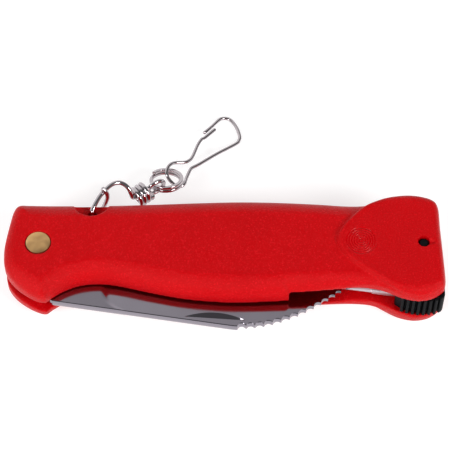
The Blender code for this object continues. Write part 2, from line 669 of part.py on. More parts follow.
def make_bail(axis):
    """One wire: tail in the coil, eye, near leg, lanyard hole, and a loop round the bar."""
    near = [Vector(point) for point in BAIL_NEAR]
    centre = Vector(EYE_CENTRE)
    toward = (Vector((near[0].x, near[0].y, 0.0)) - Vector((centre.x, centre.y, 0.0))).normalized()
    eye = []
    for n in range(13):
        angle = math.radians(-130.0 + 290.0 * n / 12)
        eye.append(centre - toward * EYE_RADIUS * math.cos(angle)
                   + Vector((0.0, 0.0, EYE_RADIUS * math.sin(angle))))
    tail = [Vector(point) for point in BAIL_TAIL]
    loop = [Vector((LANYARD_X, LANYARD_Y, 0.0))] + [Vector(point) for point in BAIL_LOOP]
    route = smooth_route(tail + eye + near + loop, 2)
    wire("lanyard_bail", route, BAIL_WIRE, (NICKEL, 0.18, 1.0), axis)


def make_wrap(axis):
    """Coil of wire wound round both legs of the bail."""
    start, end = Vector(WRAP_START), Vector(WRAP_END)
    along = (end - start).normalized()
    side = along.cross(Vector((0.0, 0.0, 1.0))).normalized()
    up = side.cross(along)
    route = []
    per_turn = 14
    count = int(WRAP_TURNS * per_turn)
    for n in range(count + 1):
        turn = 2 * math.pi * n / per_turn
        spot = start.lerp(end, n / count)
        route.append(spot + WRAP_RADIUS * (side * math.cos(turn) + up * math.sin(turn)))
    wire("bail_wrap", route, WRAP_WIRE, (NICKEL, 0.18, 1.0), axis)


def make_ring(axis):
    """Split ring: nearly two turns of wire, tilted towards the table."""
    tilt = Matrix.Rotation(RING_TILT, 3, "X")
    route = []
    count = int(36 * RING_TURNS)
    for n in range(count + 1):
        turn = 2 * math.pi * (n / 36 + 0.56)
        rise = RING_PITCH * (n / count - 0.5) * RING_TURNS
        spot = Vector((RING_RADIUS * math.cos(turn), RING_RADIUS * math.sin(turn), rise))
        route.append(Vector(RING_CENTRE) + tilt @ spot)
    wire("split_ring", route, RING_WIRE, (NICKEL, 0.2, 1.0), axis)


def make_hook(axis):
    """Snap hook bent from one springy wire: hook arm, body, eye, and spring arm."""
    wire("snap_hook", smooth_route(HOOK_ROUTE, 2), HOOK_WIRE, (NICKEL, 0.18, 1.0), axis)


def build():
    """Make every sub-part in order."""
    make_shells()
    part_shells()
    make_blade(axis_empty("blade_axis", 0.0, 0.0))
    make_pivot()
    make_spring()
    hub_axis = axis_empty("hub_axis", HUB_X, HUB_Y)
    make_spike(hub_axis)
    make_hub(hub_axis)
    make_screws()
    bail_axis = axis_empty("bail_axis", LANYARD_X, LANYARD_Y)
    make_bail(bail_axis)
    make_wrap(bail_axis)
    make_ring(axis_empty("ring_axis", *EYE_CENTRE))
    make_hook(axis_empty("hook_axis", *RING_CENTRE))


build()
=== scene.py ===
"""Looks of a folding rigging knife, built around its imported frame.

The knife lies on its far side on a pale table, its blade and marlinspike shut, with the wire
chain of its lanyard eye laid out behind its back edge.  Shapes are worked out in millimetres
from the handle's middle plane, and go into the meshes in metres in the frame's own axes: +X
from the blade's axis to the butt, +Y to the closed back and +Z out of the near face.
"""
import logging
import math
from dataclasses import dataclass
from enum import Enum
from typing import Sequence

import bmesh
import bpy
import numpy as np
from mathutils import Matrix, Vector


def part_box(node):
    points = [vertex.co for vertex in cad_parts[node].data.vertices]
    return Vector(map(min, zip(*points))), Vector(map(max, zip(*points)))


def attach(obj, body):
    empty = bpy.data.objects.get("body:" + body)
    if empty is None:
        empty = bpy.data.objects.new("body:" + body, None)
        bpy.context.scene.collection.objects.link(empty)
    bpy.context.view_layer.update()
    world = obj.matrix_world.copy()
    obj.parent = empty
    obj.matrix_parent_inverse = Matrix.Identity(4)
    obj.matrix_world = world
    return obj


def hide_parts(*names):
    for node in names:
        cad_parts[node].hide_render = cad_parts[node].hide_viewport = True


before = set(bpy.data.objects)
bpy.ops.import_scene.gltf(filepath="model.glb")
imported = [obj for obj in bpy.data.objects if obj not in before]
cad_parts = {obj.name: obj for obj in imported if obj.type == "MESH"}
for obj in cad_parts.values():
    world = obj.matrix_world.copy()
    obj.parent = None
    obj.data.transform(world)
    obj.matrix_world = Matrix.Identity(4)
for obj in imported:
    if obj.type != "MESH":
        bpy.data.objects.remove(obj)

LOG = logging.getLogger("rigging_knife")
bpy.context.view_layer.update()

MM = 0.001
BLADE_HALF = 1.25
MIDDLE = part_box("blade")[0].z / MM + BLADE_HALF   # the blade lies about the middle plane
HANDLE = "handle"
HUB = (96.6, -0.3)                                # axis of the marlinspike and its hub
LANYARD = (13.1, 10.2)                            # axis of the lanyard hole
SPRING_PINS = ((34.0, 6.8), (58.0, 6.8))
SCREWS = ((29.0, 10.9), (70.0, 10.7))

Ring = Sequence[tuple[float, ...]]


class Side(Enum):
    """Which of the two handle shells a shape belongs to."""

    NEAR = 1.0
    FAR = -1.0


class Joining(Enum):
    """How a second solid changes the first one."""

    UNION = "UNION"
    DIFFERENCE = "DIFFERENCE"


# ---------------------------------------------------------------- shape tools


def in_frame(points: np.ndarray) -> np.ndarray:
    """Turn millimetres from the middle plane into metres in the frame.

    Args:
        points: Places, one in each row of the last axis.

    Returns:
        The same places in metres.
    """
    return (points + np.array([0.0, 0.0, MIDDLE])) * MM


def catmull_rom(points: np.ndarray, steps: int, closed: bool = False,
                corners: np.ndarray | None = None) -> np.ndarray:
    """Sample the Catmull-Rom curve through a list of control points.

    Each stretch between two controls b and c, with neighbours a and d, is the cubic
    (2b + (c-a)t + (2a-5b+4c-d)t^2 + (3b-a-3c+d)t^3) / 2.  At a corner the neighbour beyond it
    is mirrored, so that the curve leaves the corner straight.

    Args:
        points: Control points, one a row.
        steps: Samples for each stretch.
        closed: Whether the last control joins the first.
        corners: For a closed curve, which controls are sharp corners.

    Returns:
        The samples, one a row.
    """
    if closed:
        before, after = np.roll(points, 1, 0), np.roll(points, -1, 0)
        beyond, start = np.roll(points, -2, 0), points
        if corners is not None:
            sharp = corners[:, None]
            before = np.where(sharp, 2 * start - after, before)
            beyond = np.where(np.roll(sharp, -1, 0), 2 * after - start, beyond)
    else:
        padded = np.vstack([2 * points[0] - points[1], points, 2 * points[-1] - points[-2]])
        before, start, after, beyond = padded[:-3], padded[1:-2], padded[2:-1], padded[3:]
    t = (np.arange(steps) / steps)[None, :, None]
    a, b, c, d = (part[:, None, :] for part in (before, start, after, beyond))
    curve = 0.5 * (2 * b + (c - a) * t + (2 * a - 5 * b + 4 * c - d) * t ** 2
                   + (3 * b - a - 3 * c + d) * t ** 3)
    flat = curve.reshape(-1, points.shape[1])
    return flat if closed else np.vstack([flat, points[-1:]])


def mitred(points: np.ndarray, insets: np.ndarray) -> np.ndarray:
    """Move each point of an anticlockwise outline inwards along its corner's bisector.

    Args:
        points: Outline corners, one a row.
        insets: How far each corner's two sides move in.

    Returns:
        The moved corners.
    """
    before = points - np.roll(points, 1, 0)
    after = np.roll(points, -1, 0) - points
    normals = []
    for run in (before, after):
        run = run / np.linalg.norm(run, axis=1, keepdims=True)
        normals.append(np.stack([-run[:, 1], run[:, 0]], 1))
    bisector = normals[0] + normals[1]
    bisector /= np.linalg.norm(bisector, axis=1, keepdims=True)
    spread = np.maximum((bisector * normals[1]).sum(1), 0.55)
    return points + bisector * (insets / spread)[:, None]


def smoothstep(value: np.ndarray) -> np.ndarray:
    """Ease from 0 to 1 with level ends: 3t^2 - 2t^3 on the value held to 0..1.

    Args:
        value: Places along the step.

    Returns:
        The eased values.
    """
    held = np.clip(value, 0.0, 1.0)
    return held * held * (3.0 - 2.0 * held)


def grid_object(name: str, grid: np.ndarray, capped: bool = True) -> bpy.types.Object:
    """Make an object of a grid of places whose rows are closed rings.

    Args:
        name: Name of the object.
        grid: Rows by columns by 3, in millimetres from the middle plane.
        capped: Whether the first and last rings are filled; otherwise they join each other.

    Returns:
        The object, closed and facing outwards.
    """
    rows, columns = grid.shape[:2]
    index = np.arange(rows * columns).reshape(rows, columns)
    low = index[:-1] if capped else index
    high = index[1:] if capped else np.roll(index, -1, 0)
    faces = np.stack([low, np.roll(low, -1, 1), np.roll(high, -1, 1), high], -1)
    lists = faces.reshape(-1, 4).tolist()
    if capped:
        lists += [index[0, ::-1].tolist(), index[-1].tolist()]
    mesh = bpy.data.meshes.new(name)
    mesh.from_pydata(in_frame(grid.reshape(-1, 3)).tolist(), [], lists)
    tidy_mesh(mesh)
    made = bpy.data.objects.new(name, mesh)
    bpy.context.scene.collection.objects.link(made)
    return made


def tidy_mesh(mesh: bpy.types.Mesh, crease: float = 38.0) -> None:
    """Merge doubled points, turn the faces outwards and shade the mesh smooth.

    Args:
        mesh: Closed mesh that is changed in place.
        crease: Angle in degrees beyond which an edge stays sharp.
    """
    bm = bmesh.new()
    bm.from_mesh(mesh)
    bmesh.ops.remove_doubles(bm, verts=bm.verts, dist=0.002 * MM)
    bmesh.ops.recalc_face_normals(bm, faces=bm.faces)
    bm.to_mesh(mesh)
    bm.free()
    mesh.shade_smooth()
    mesh.set_sharp_from_angle(angle=math.radians(crease))


def slab(name: str, outline: Ring | np.ndarray, low: float, high: float,
         edge: float = 0.0) -> bpy.types.Object:
    """A flat outline between two heights, with a chamfer-like round of a given size.

    Args:
        name: Name of the object.
        outline: Anticlockwise corners in X and Y.
        low: Lower height.
        high: Upper height.
        edge: Size of the round along both flat faces' edges.

    Returns:
        The slab.
    """
    points = np.array(outline, float)
    levels = [(low, 0.0), (high, 0.0)]
    if edge:
        part = edge * 0.3
        levels = [(low, edge), (low + part, part), (low + edge, 0.0),
                  (high - edge, 0.0), (high - part, part), (high, edge)]
    rings = []
    for height, inset in levels:
        flat = mitred(points, np.full(len(points), inset)) if inset else points
        rings.append(np.column_stack([flat, np.full(len(flat), height)]))
    return grid_object(name, np.array(rings))


def turned(name: str, profile: Ring, x: float, y: float, sides: int = 72) -> bpy.types.Object:
    """A profile of (radius, height) turned about an upright axis.

    Args:
        name: Name of the object.
        profile: Radius and height of each place along the profile; one that starts on the
            axis ends there too, and any other closes on itself.
        x: Place of the axis.
        y: Place of the axis.
        sides: Places round the axis.

    Returns:
        The turned object.
    """
    line = np.array(profile, float)
    solid = line[0, 0] == 0.0
    radius = np.where(line[:, 0] == 0.0, 1e-4, line[:, 0])
    turn = np.linspace(0.0, 2 * math.pi, sides, endpoint=False)
    grid = np.stack([x + radius[:, None] * np.cos(turn), y + radius[:, None] * np.sin(turn),
                     np.repeat(line[:, 1:], sides, 1)], -1)
    return grid_object(name, grid, capped=solid)


def rod(radius: float, low: float, high: float, edge: float = 0.0) -> Ring:
    """Profile of an upright rod, from its top's middle to its bottom's.

    Args:
        radius: Radius of the rod.
        low: Height of its lower end.
        high: Height of its upper end.
        edge: Size of the chamfer on both rims.

    Returns:
        The profile, for turned().
    """
    if not edge:
        return ((0.0, high), (radius, high), (radius, low), (0.0, low))
    return ((0.0, high), (radius - edge, high), (radius, high - edge), (radius, low + edge),
            (radius - edge, low), (0.0, low))


def swept(name: str, path: np.ndarray, profile: np.ndarray, up: Sequence[float] | None = None,
          dome: float = 0.6) -> bpy.types.Object:
    """Carry a profile along a path, with its ends drawn in to small domes.

    The profile stands square to the path.  Its frame is carried from each place to the next
    by removing what the new direction has along it, so it never spins about the path; a given
    up direction holds it instead.

    Args:
        name: Name of the object.
        path: Places along the path.
        profile: Closed profile, across and up, about its own middle.
        up: Direction that the profile's up side keeps to, for a flat wire.
        dome: How far each dome stands out, as a share of the profile's size.

    Returns:
        The swept object.
    """
    runs = np.gradient(path, axis=0)
    runs /= np.linalg.norm(runs, axis=1, keepdims=True)
    side = np.empty_like(runs)
    side[0] = np.cross(runs[0], [0.31, 0.22, 0.92] if up is None else up)
    for station in range(1, len(path)):
        side[station] = side[station - 1] if up is None else np.cross(runs[station], up)
        side[station] -= runs[station] * (side[station] @ runs[station])
    side /= np.linalg.norm(side, axis=1, keepdims=True)
    rise = np.cross(side, runs)
    grid = (path[:, None] + profile[None, :, :1] * side[:, None]
            + profile[None, :, 1:] * rise[:, None])
    size = np.abs(profile).max() * dome
    ends = []
    for station, way in ((0, -1.0), (-1, 1.0)):
        ring, middle = grid[station], path[station]
        ends.append([middle + (ring - middle) * share + way * reach * size * runs[station]
                     for share, reach in ((0.92, 0.45), (0.68, 0.8), (0.3, 0.97), (0.02, 1.0))])
    whole = np.concatenate([np.array(ends[0][::-1]), grid, np.array(ends[1])])
    return grid_object(name, whole)


def round_profile(radius: float, sides: int = 16) -> np.ndarray:
    """A round wire's profile: a circle of that radius.

    Args:
        radius: Radius of the wire.
        sides: Places round it.

    Returns:
        The profile.
    """
    turn = np.linspace(0.0, 2 * math.pi, sides, endpoint=False)
    return radius * np.stack([np.cos(turn), np.sin(turn)], 1)


def flat_profile(across: float, up: float, sides: int = 24) -> np.ndarray:
    """A flattened wire's profile: the curve |x/across|^4 + |y/up|^4 = 1.

    Args:
        across: Half width.
        up: Half height.
        sides: Places round it.

    Returns:
        The profile.
    """
    turn = np.linspace(0.0, 2 * math.pi, sides, endpoint=False)
    c, s = np.cos(turn), np.sin(turn)
    return np.stack([across * np.sign(c) * np.sqrt(np.abs(c)),
                     up * np.sign(s) * np.sqrt(np.abs(s))], 1)


def settle(item: bpy.types.Object) -> None:
    """Apply an object's modifiers to its mesh.

    Args:
        item: The object that is changed.
    """
    graph = bpy.context.evaluated_depsgraph_get()
    made = bpy.data.meshes.new_from_object(item.evaluated_get(graph))
    item.modifiers.clear()
    old, item.data = item.data, made
    bpy.data.meshes.remove(old)


def combine(item: bpy.types.Object, others: Sequence[bpy.types.Object], how: Joining) -> None:
    """Join or cut an object by others, which are then removed.

    Args:
        item: The object that is kept.
        others: Objects that are joined to it or taken from it.
        how: Whether the others are added or cut away.
    """
    for other in others:
        step = item.modifiers.new(other.name, "BOOLEAN")
        step.object = other
        step.operation = how.value
        step.solver = "EXACT"
    settle(item)
    for other in others:
        bpy.data.objects.remove(other, do_unlink=True)


def mould(item: bpy.types.Object, voxel: float, passes: int) -> None:
    """Give a solid an even fine skin whose edges are a little soft, as a moulding's are.

    Args:
        item: Closed solid.
        voxel: Size of the skin's faces, in millimetres.
        passes: Smoothing passes.
    """
    skin = item.modifiers.new("even skin", "REMESH")
    skin.mode = "VOXEL"
    skin.voxel_size = voxel * MM
    skin.use_smooth_shade = True
    soft = item.modifiers.new("soft edges", "SMOOTH")
    soft.factor = 0.5
    soft.iterations = passes
    settle(item)
    tidy_mesh(item.data)


def dress(item: bpy.types.Object, finish: bpy.types.Material, body: str, slot: str,
          *nodes: str) -> None:
    """Give a finished piece its material and body, and hide the CAD nodes that it stands for.

    Args:
        item: The piece.
        finish: Its material.
        body: Body that it moves with.
        slot: Material slot of the record; not used.
        *nodes: CAD nodes that it replaces.
    """
    item.data.materials.clear()
    item.data.materials.append(finish)
    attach(item, body)
    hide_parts(*nodes)
    LOG.info("%s: %d faces, on %s", item.name, len(item.data.polygons), body)


# ------------------------------------------------------------------ finishes


def new_material(name: str) -> tuple[bpy.types.Material, bpy.types.Node]:
    """Start a material.

    Args:
        name: Its name.

    Returns:
        The material and its Principled node.
    """
    made = bpy.data.materials.new(name)
    made.use_nodes = True
    shader = made.node_tree.nodes["Principled BSDF"]
    shader.label = "surface"
    shader.location = (600, 0)
    made.node_tree.nodes["Material Output"].location = (900, 0)
    return made, shader


def lay_out(tree: bpy.types.NodeTree, title: str, row: int,
            nodes: Sequence[bpy.types.Node]) -> None:
    """Put a group of nodes side by side in a frame of their own.

    Args:
        tree: Node tree of the material.
        title: What the group does.
        row: Which row of the layout the group takes.
        nodes: The group's nodes, from left to right.
    """
    holder = tree.nodes.new("NodeFrame")
    holder.label = title
    for column, node in enumerate(nodes):
        node.parent = holder
        node.location = (-1100 + 230 * column, 400 - 330 * row)


@dataclass(frozen=True)
class MouldedPlastic:
    """A moulded plastic with the fine sandy grain of a spark-eroded mould.

    The colour carries faint lighter specks at the grain's scale, a painted glint on the tops of
    the grain, and slow, barely seen patches; the grain and a finer layer of it lift the surface.
    """

    name: str
    colour: tuple[float, float, float, float]
    # lighter colour of the painted glints on the grain's tops
    speck: tuple[float, float, float, float]
    roughness: float
    grain: float
    lift: float
    specular: float

    def build(self, mark: tuple[float, float, float] | None = None,
              mark_radius: float = 0.0) -> bpy.types.Material:
        """Write the node tree.

        Args:
            mark: Middle of a smooth, finely turned disc on the surface, in metres.
            mark_radius: Radius of that disc, in metres.

        Returns:
            The material.
        """
        material, shader = new_material(self.name)
        tree = material.node_tree
        nodes, links = tree.nodes, tree.links

        place = nodes.new("ShaderNodeTexCoord")
        place.label = "place on the moulding"
        grain = nodes.new("ShaderNodeTexNoise")
        grain.label = "spark-eroded grain"
        grain.inputs["Scale"].default_value = self.grain
        grain.inputs["Detail"].default_value = 3.0
        grain.inputs["Roughness"].default_value = 0.62
        # painted glints: the tops of the grain get a lighter colour that stands in for glints of
        # light on the grain
        specks = nodes.new("ShaderNodeMapRange")
        specks.label = "painted glints on the grain tops"
        specks.inputs["From Min"].default_value = 0.52
        specks.inputs["From Max"].default_value = 0.74
        patches = nodes.new("ShaderNodeTexNoise")
        patches.label = "slow patches"
        patches.inputs["Scale"].default_value = 90.0
        patches.inputs["Detail"].default_value = 2.0
        deeper = nodes.new("ShaderNodeMix")
        deeper.label = "slightly deeper patches"
        deeper.data_type = "RGBA"
        deeper.inputs["A"].default_value = self.colour
        deeper.inputs["B"].default_value = tuple(0.84 * c for c in self.colour[:3]) + (1.0,)
        tint = nodes.new("ShaderNodeMix")
        tint.label = "painted glints over the colour"
        tint.data_type = "RGBA"
        tint.inputs["B"].default_value = self.speck
        links.new(place.outputs["Object"], grain.inputs["Vector"])
        links.new(place.outputs["Object"], patches.inputs["Vector"])
        links.new(grain.outputs["Fac"], specks.inputs["Value"])
        links.new(patches.outputs["Fac"], deeper.inputs["Factor"])
        links.new(deeper.outputs["Result"], tint.inputs["A"])
        links.new(specks.outputs["Result"], tint.inputs["Factor"])
        links.new(tint.outputs["Result"], shader.inputs["Base Color"])
        lay_out(tree, "colour", 0, (place, grain, specks, patches, deeper, tint))

        sheen = nodes.new("ShaderNodeMapRange")
        sheen.label = "uneven gloss"
        sheen.inputs["To Min"].default_value = self.roughness - 0.07
        sheen.inputs["To Max"].default_value = self.roughness + 0.12
        links.new(grain.outputs["Fac"], sheen.inputs["Value"])
        fine = nodes.new("ShaderNodeTexNoise")
        fine.label = "finest grain"
        fine.inputs["Scale"].default_value = self.grain * 2.6
        fine.inputs["Detail"].default_value = 2.0
        pile = nodes.new("ShaderNodeMath")
        pile.label = "both grains"
        pile.operation = "MULTIPLY_ADD"
        pile.inputs[1].default_value = 0.4
        bump = nodes.new("ShaderNodeBump")
        bump.label = "lift of the grain"
        bump.inputs["Strength"].default_value = 1.0
        bump.inputs["Distance"].default_value = self.lift
        links.new(place.outputs["Object"], fine.inputs["Vector"])
        links.new(fine.outputs["Fac"], pile.inputs[0])
        links.new(grain.outputs["Fac"], pile.inputs[2])
        lay_out(tree, "grain and gloss", 1, (sheen, fine, pile, bump))

        if mark is None:
            links.new(pile.outputs["Value"], bump.inputs["Height"])
            links.new(sheen.outputs["Result"], shader.inputs["Roughness"])
        else:
            centred = nodes.new("ShaderNodeMapping")
            centred.label = "from the middle of the turned disc"
            centred.inputs["Location"].default_value = tuple(-c for c in mark)
            flat = nodes.new("ShaderNodeVectorMath")
            flat.label = "distance from the disc's axis"
            flat.operation = "LENGTH"
            inside = nodes.new("ShaderNodeMapRange")
            inside.label = "on the disc or off it"
            inside.inputs["From Min"].default_value = mark_radius * 0.95
            inside.inputs["From Max"].default_value = mark_radius * 1.03
            inside.inputs["To Min"].default_value = 1.0
            inside.inputs["To Max"].default_value = 0.0
            rings = nodes.new("ShaderNodeMath")
            rings.label = "turning marks"
            rings.operation = "MULTIPLY"
            rings.inputs[1].default_value = 2 * math.pi / 0.00062
            shallow = nodes.new("ShaderNodeMath")
            shallow.label = "shallow ridges"
            shallow.operation = "MULTIPLY"
            shallow.inputs[1].default_value = 0.42
            wave = nodes.new("ShaderNodeMath")
            wave.label = "ridges of the turning"
            wave.operation = "SINE"
            height = nodes.new("ShaderNodeMix")
            height.label = "rings on the disc, grain off it"
            height.data_type = "FLOAT"
            gloss = nodes.new("ShaderNodeMix")
            gloss.label = "smoother on the disc"
            gloss.data_type = "FLOAT"
            gloss.inputs["B"].default_value = 0.20
            links.new(place.outputs["Object"], centred.inputs["Vector"])
            links.new(centred.outputs["Vector"], flat.inputs[0])
            links.new(flat.outputs["Value"], inside.inputs["Value"])
            links.new(flat.outputs["Value"], rings.inputs[0])
            links.new(rings.outputs["Value"], wave.inputs[0])
            links.new(inside.outputs["Result"], height.inputs["Factor"])
            links.new(pile.outputs["Value"], height.inputs["A"])
            links.new(wave.outputs["Value"], shallow.inputs[0])
            links.new(shallow.outputs["Value"], height.inputs["B"])
            links.new(height.outputs["Result"], bump.inputs["Height"])
            links.new(inside.outputs["Result"], gloss.inputs["Factor"])
            links.new(sheen.outputs["Result"], gloss.inputs["A"])
            links.new(gloss.outputs["Result"], shader.inputs["Roughness"])
            lay_out(tree, "turned disc", 2,
                    (centred, flat, inside, rings, wave, shallow, height, gloss))
        links.new(bump.outputs["Normal"], shader.inputs["Normal"])
        shader.inputs["Specular IOR Level"].default_value = self.specular
        return material


@dataclass(frozen=True)
class WorkedMetal:
    """A metal with fine marks drawn out along one direction, faint smudges and its own gloss."""

    name: str
    colour: tuple[float, float, float, float]
    stain: tuple[float, float, float, float]
    roughness: float
    stretch: tuple[float, float, float]
    turn: float
    lift: float

    def build(self) -> bpy.types.Material:
        """Write the node tree.

        Returns:
            The material.
        """
        material, shader = new_material(self.name)
        tree = material.node_tree
        nodes, links = tree.nodes, tree.links
        shader.inputs["Metallic"].default_value = 1.0

        place = nodes.new("ShaderNodeTexCoord")
        place.label = "place on the metal"
        drawn = nodes.new("ShaderNodeMapping")
        drawn.label = "drawn out along the grinding"
        drawn.inputs["Rotation"].default_value = (0.0, 0.0, self.turn)
        drawn.inputs["Scale"].default_value = self.stretch
        marks = nodes.new("ShaderNodeTexNoise")
        marks.label = "grinding marks"
        marks.inputs["Scale"].default_value = 1.0
        marks.inputs["Detail"].default_value = 4.0
        bump = nodes.new("ShaderNodeBump")
        bump.label = "depth of the marks"
        bump.inputs["Distance"].default_value = self.lift
        links.new(place.outputs["Object"], drawn.inputs["Vector"])
        links.new(drawn.outputs["Vector"], marks.inputs["Vector"])
        links.new(marks.outputs["Fac"], bump.inputs["Height"])
        links.new(bump.outputs["Normal"], shader.inputs["Normal"])
        lay_out(tree, "grinding", 0, (place, drawn, marks, bump))

        smudge = nodes.new("ShaderNodeTexNoise")
        smudge.label = "handling smudges"
        smudge.inputs["Scale"].default_value = 160.0
        smudge.inputs["Detail"].default_value = 3.0
        gloss = nodes.new("ShaderNodeMapRange")
        gloss.label = "gloss under the smudges"
        gloss.inputs["From Min"].default_value = 0.3
        gloss.inputs["From Max"].default_value = 0.75
        gloss.inputs["To Min"].default_value = self.roughness
        gloss.inputs["To Max"].default_value = self.roughness * 1.55
        tone = nodes.new("ShaderNodeMix")
        tone.label = "tone under the smudges"
        tone.data_type = "RGBA"
        tone.inputs["A"].default_value = self.colour
        tone.inputs["B"].default_value = self.stain
        links.new(place.outputs["Object"], smudge.inputs["Vector"])
        links.new(smudge.outputs["Fac"], gloss.inputs["Value"])
        links.new(smudge.outputs["Fac"], tone.inputs["Factor"])
        links.new(gloss.outputs["Result"], shader.inputs["Roughness"])
        links.new(tone.outputs["Result"], shader.inputs["Base Color"])
        lay_out(tree, "handling", 1, (smudge, gloss, tone))
        return material


@dataclass(frozen=True)
class TurnedBrass:
    """Brass faced on a lathe: fine rings about the rivet's axis, and darker tarnished patches.
    """

    name: str
    colour: tuple[float, float, float, float]
    dull: tuple[float, float, float, float]
    roughness: float
    ring_pitch: float

    def build(self) -> bpy.types.Material:
        """Write the node tree.

        Returns:
            The material.
        """
        material, shader = new_material(self.name)
        tree = material.node_tree
        nodes, links = tree.nodes, tree.links
        shader.inputs["Metallic"].default_value = 1.0

        place = nodes.new("ShaderNodeTexCoord")
        place.label = "place on the rivet"
        flatten = nodes.new("ShaderNodeVectorMath")
        flatten.label = "leave height out"
        flatten.operation = "MULTIPLY"
        flatten.inputs[1].default_value = (1.0, 1.0, 0.0)
        radius = nodes.new("ShaderNodeVectorMath")
        radius.label = "distance from the axis"
        radius.operation = "LENGTH"
        rings = nodes.new("ShaderNodeMath")
        rings.label = "rings of the turning tool"
        rings.operation = "MULTIPLY"
        rings.inputs[1].default_value = 2 * math.pi / self.ring_pitch
        wave = nodes.new("ShaderNodeMath")
        wave.label = "ridges"
        wave.operation = "SINE"
        bump = nodes.new("ShaderNodeBump")
        bump.label = "depth of the rings"
        bump.inputs["Strength"].default_value = 0.5
        bump.inputs["Distance"].default_value = 0.000012
        round_it = nodes.new("ShaderNodeTangent")
        round_it.label = "round the rivet's axis"
        round_it.direction_type = "RADIAL"
        round_it.axis = "Z"
        shader.inputs["Anisotropic"].default_value = 0.8
        links.new(round_it.outputs["Tangent"], shader.inputs["Tangent"])
        links.new(place.outputs["Object"], flatten.inputs[0])
        links.new(flatten.outputs["Vector"], radius.inputs[0])
        links.new(radius.outputs["Value"], rings.inputs[0])
        links.new(rings.outputs["Value"], wave.inputs[0])
        links.new(wave.outputs["Value"], bump.inputs["Height"])
        links.new(bump.outputs["Normal"], shader.inputs["Normal"])
        lay_out(tree, "turning", 0, (place, flatten, radius, rings, wave, bump, round_it))

        tarnish = nodes.new("ShaderNodeTexNoise")
        tarnish.label = "tarnish"
        tarnish.inputs["Scale"].default_value = 700.0
        tarnish.inputs["Detail"].default_value = 4.0
        tone = nodes.new("ShaderNodeMix")
        tone.label = "brass and its tarnish"
        tone.data_type = "RGBA"
        tone.inputs["A"].default_value = self.colour
        tone.inputs["B"].default_value = self.dull
        gloss = nodes.new("ShaderNodeMapRange")
        gloss.label = "duller where tarnished"
        gloss.inputs["To Min"].default_value = self.roughness
        gloss.inputs["To Max"].default_value = self.roughness + 0.15
        links.new(place.outputs["Object"], tarnish.inputs["Vector"])
        links.new(tarnish.outputs["Fac"], tone.inputs["Factor"])
        links.new(tarnish.outputs["Fac"], gloss.inputs["Value"])
        links.new(tone.outputs["Result"], shader.inputs["Base Color"])
        links.new(gloss.outputs["Result"], shader.inputs["Roughness"])
        lay_out(tree, "tarnish", 1, (tarnish, tone, gloss))
        return material


# each plastic's second colour is its painted glint colour on the grain's tops
RED_SHELL = MouldedPlastic("red_moulding", (0.55, 0.0, 0.002, 1.0),
                           (0.72, 0.008, 0.014, 1.0), 0.33, 2500.0, 0.00017, 0.09)
BLACK_HUB = MouldedPlastic("black_moulding", (0.003, 0.003, 0.004, 1.0),
                           (0.006, 0.006, 0.008, 1.0), 0.45, 2200.0, 0.00004, 0.045)
BLACK_AXLE = MouldedPlastic("black_axle", (0.002, 0.002, 0.003, 1.0),
                            (0.006, 0.006, 0.008, 1.0), 0.4, 1800.0, 0.00001, 0.15)
BLADE_STEEL = WorkedMetal("blade_steel", (0.31, 0.285, 0.325, 1.0), (0.28, 0.255, 0.295, 1.0),
                          0.10, (2600.0, 130.0, 2600.0), math.radians(8.9), 0.0000016)
SPIKE_STEEL = WorkedMetal("spike_steel", (0.72, 0.65, 0.69, 1.0), (0.66, 0.59, 0.64, 1.0),
                          0.42, (120.0, 2400.0, 2400.0), math.radians(4.0), 0.000006)
SPRING_STEEL = WorkedMetal("spring_steel", (0.50, 0.50, 0.52, 1.0), (0.42, 0.41, 0.42, 1.0),
                           0.32, (150.0, 2200.0, 2200.0), 0.0, 0.000006)
NICKEL_WIRE = WorkedMetal("nickel_wire", (0.58, 0.53, 0.55, 1.0), (0.48, 0.44, 0.46, 1.0),
                          0.13, (900.0, 900.0, 900.0), 0.0, 0.000004)
RIVET_BRASS = TurnedBrass("rivet_brass", (0.76, 0.47, 0.21, 1.0), (0.64, 0.38, 0.16, 1.0),
                          0.30, 0.00030)


# -------------------------------------------------------------------- handle


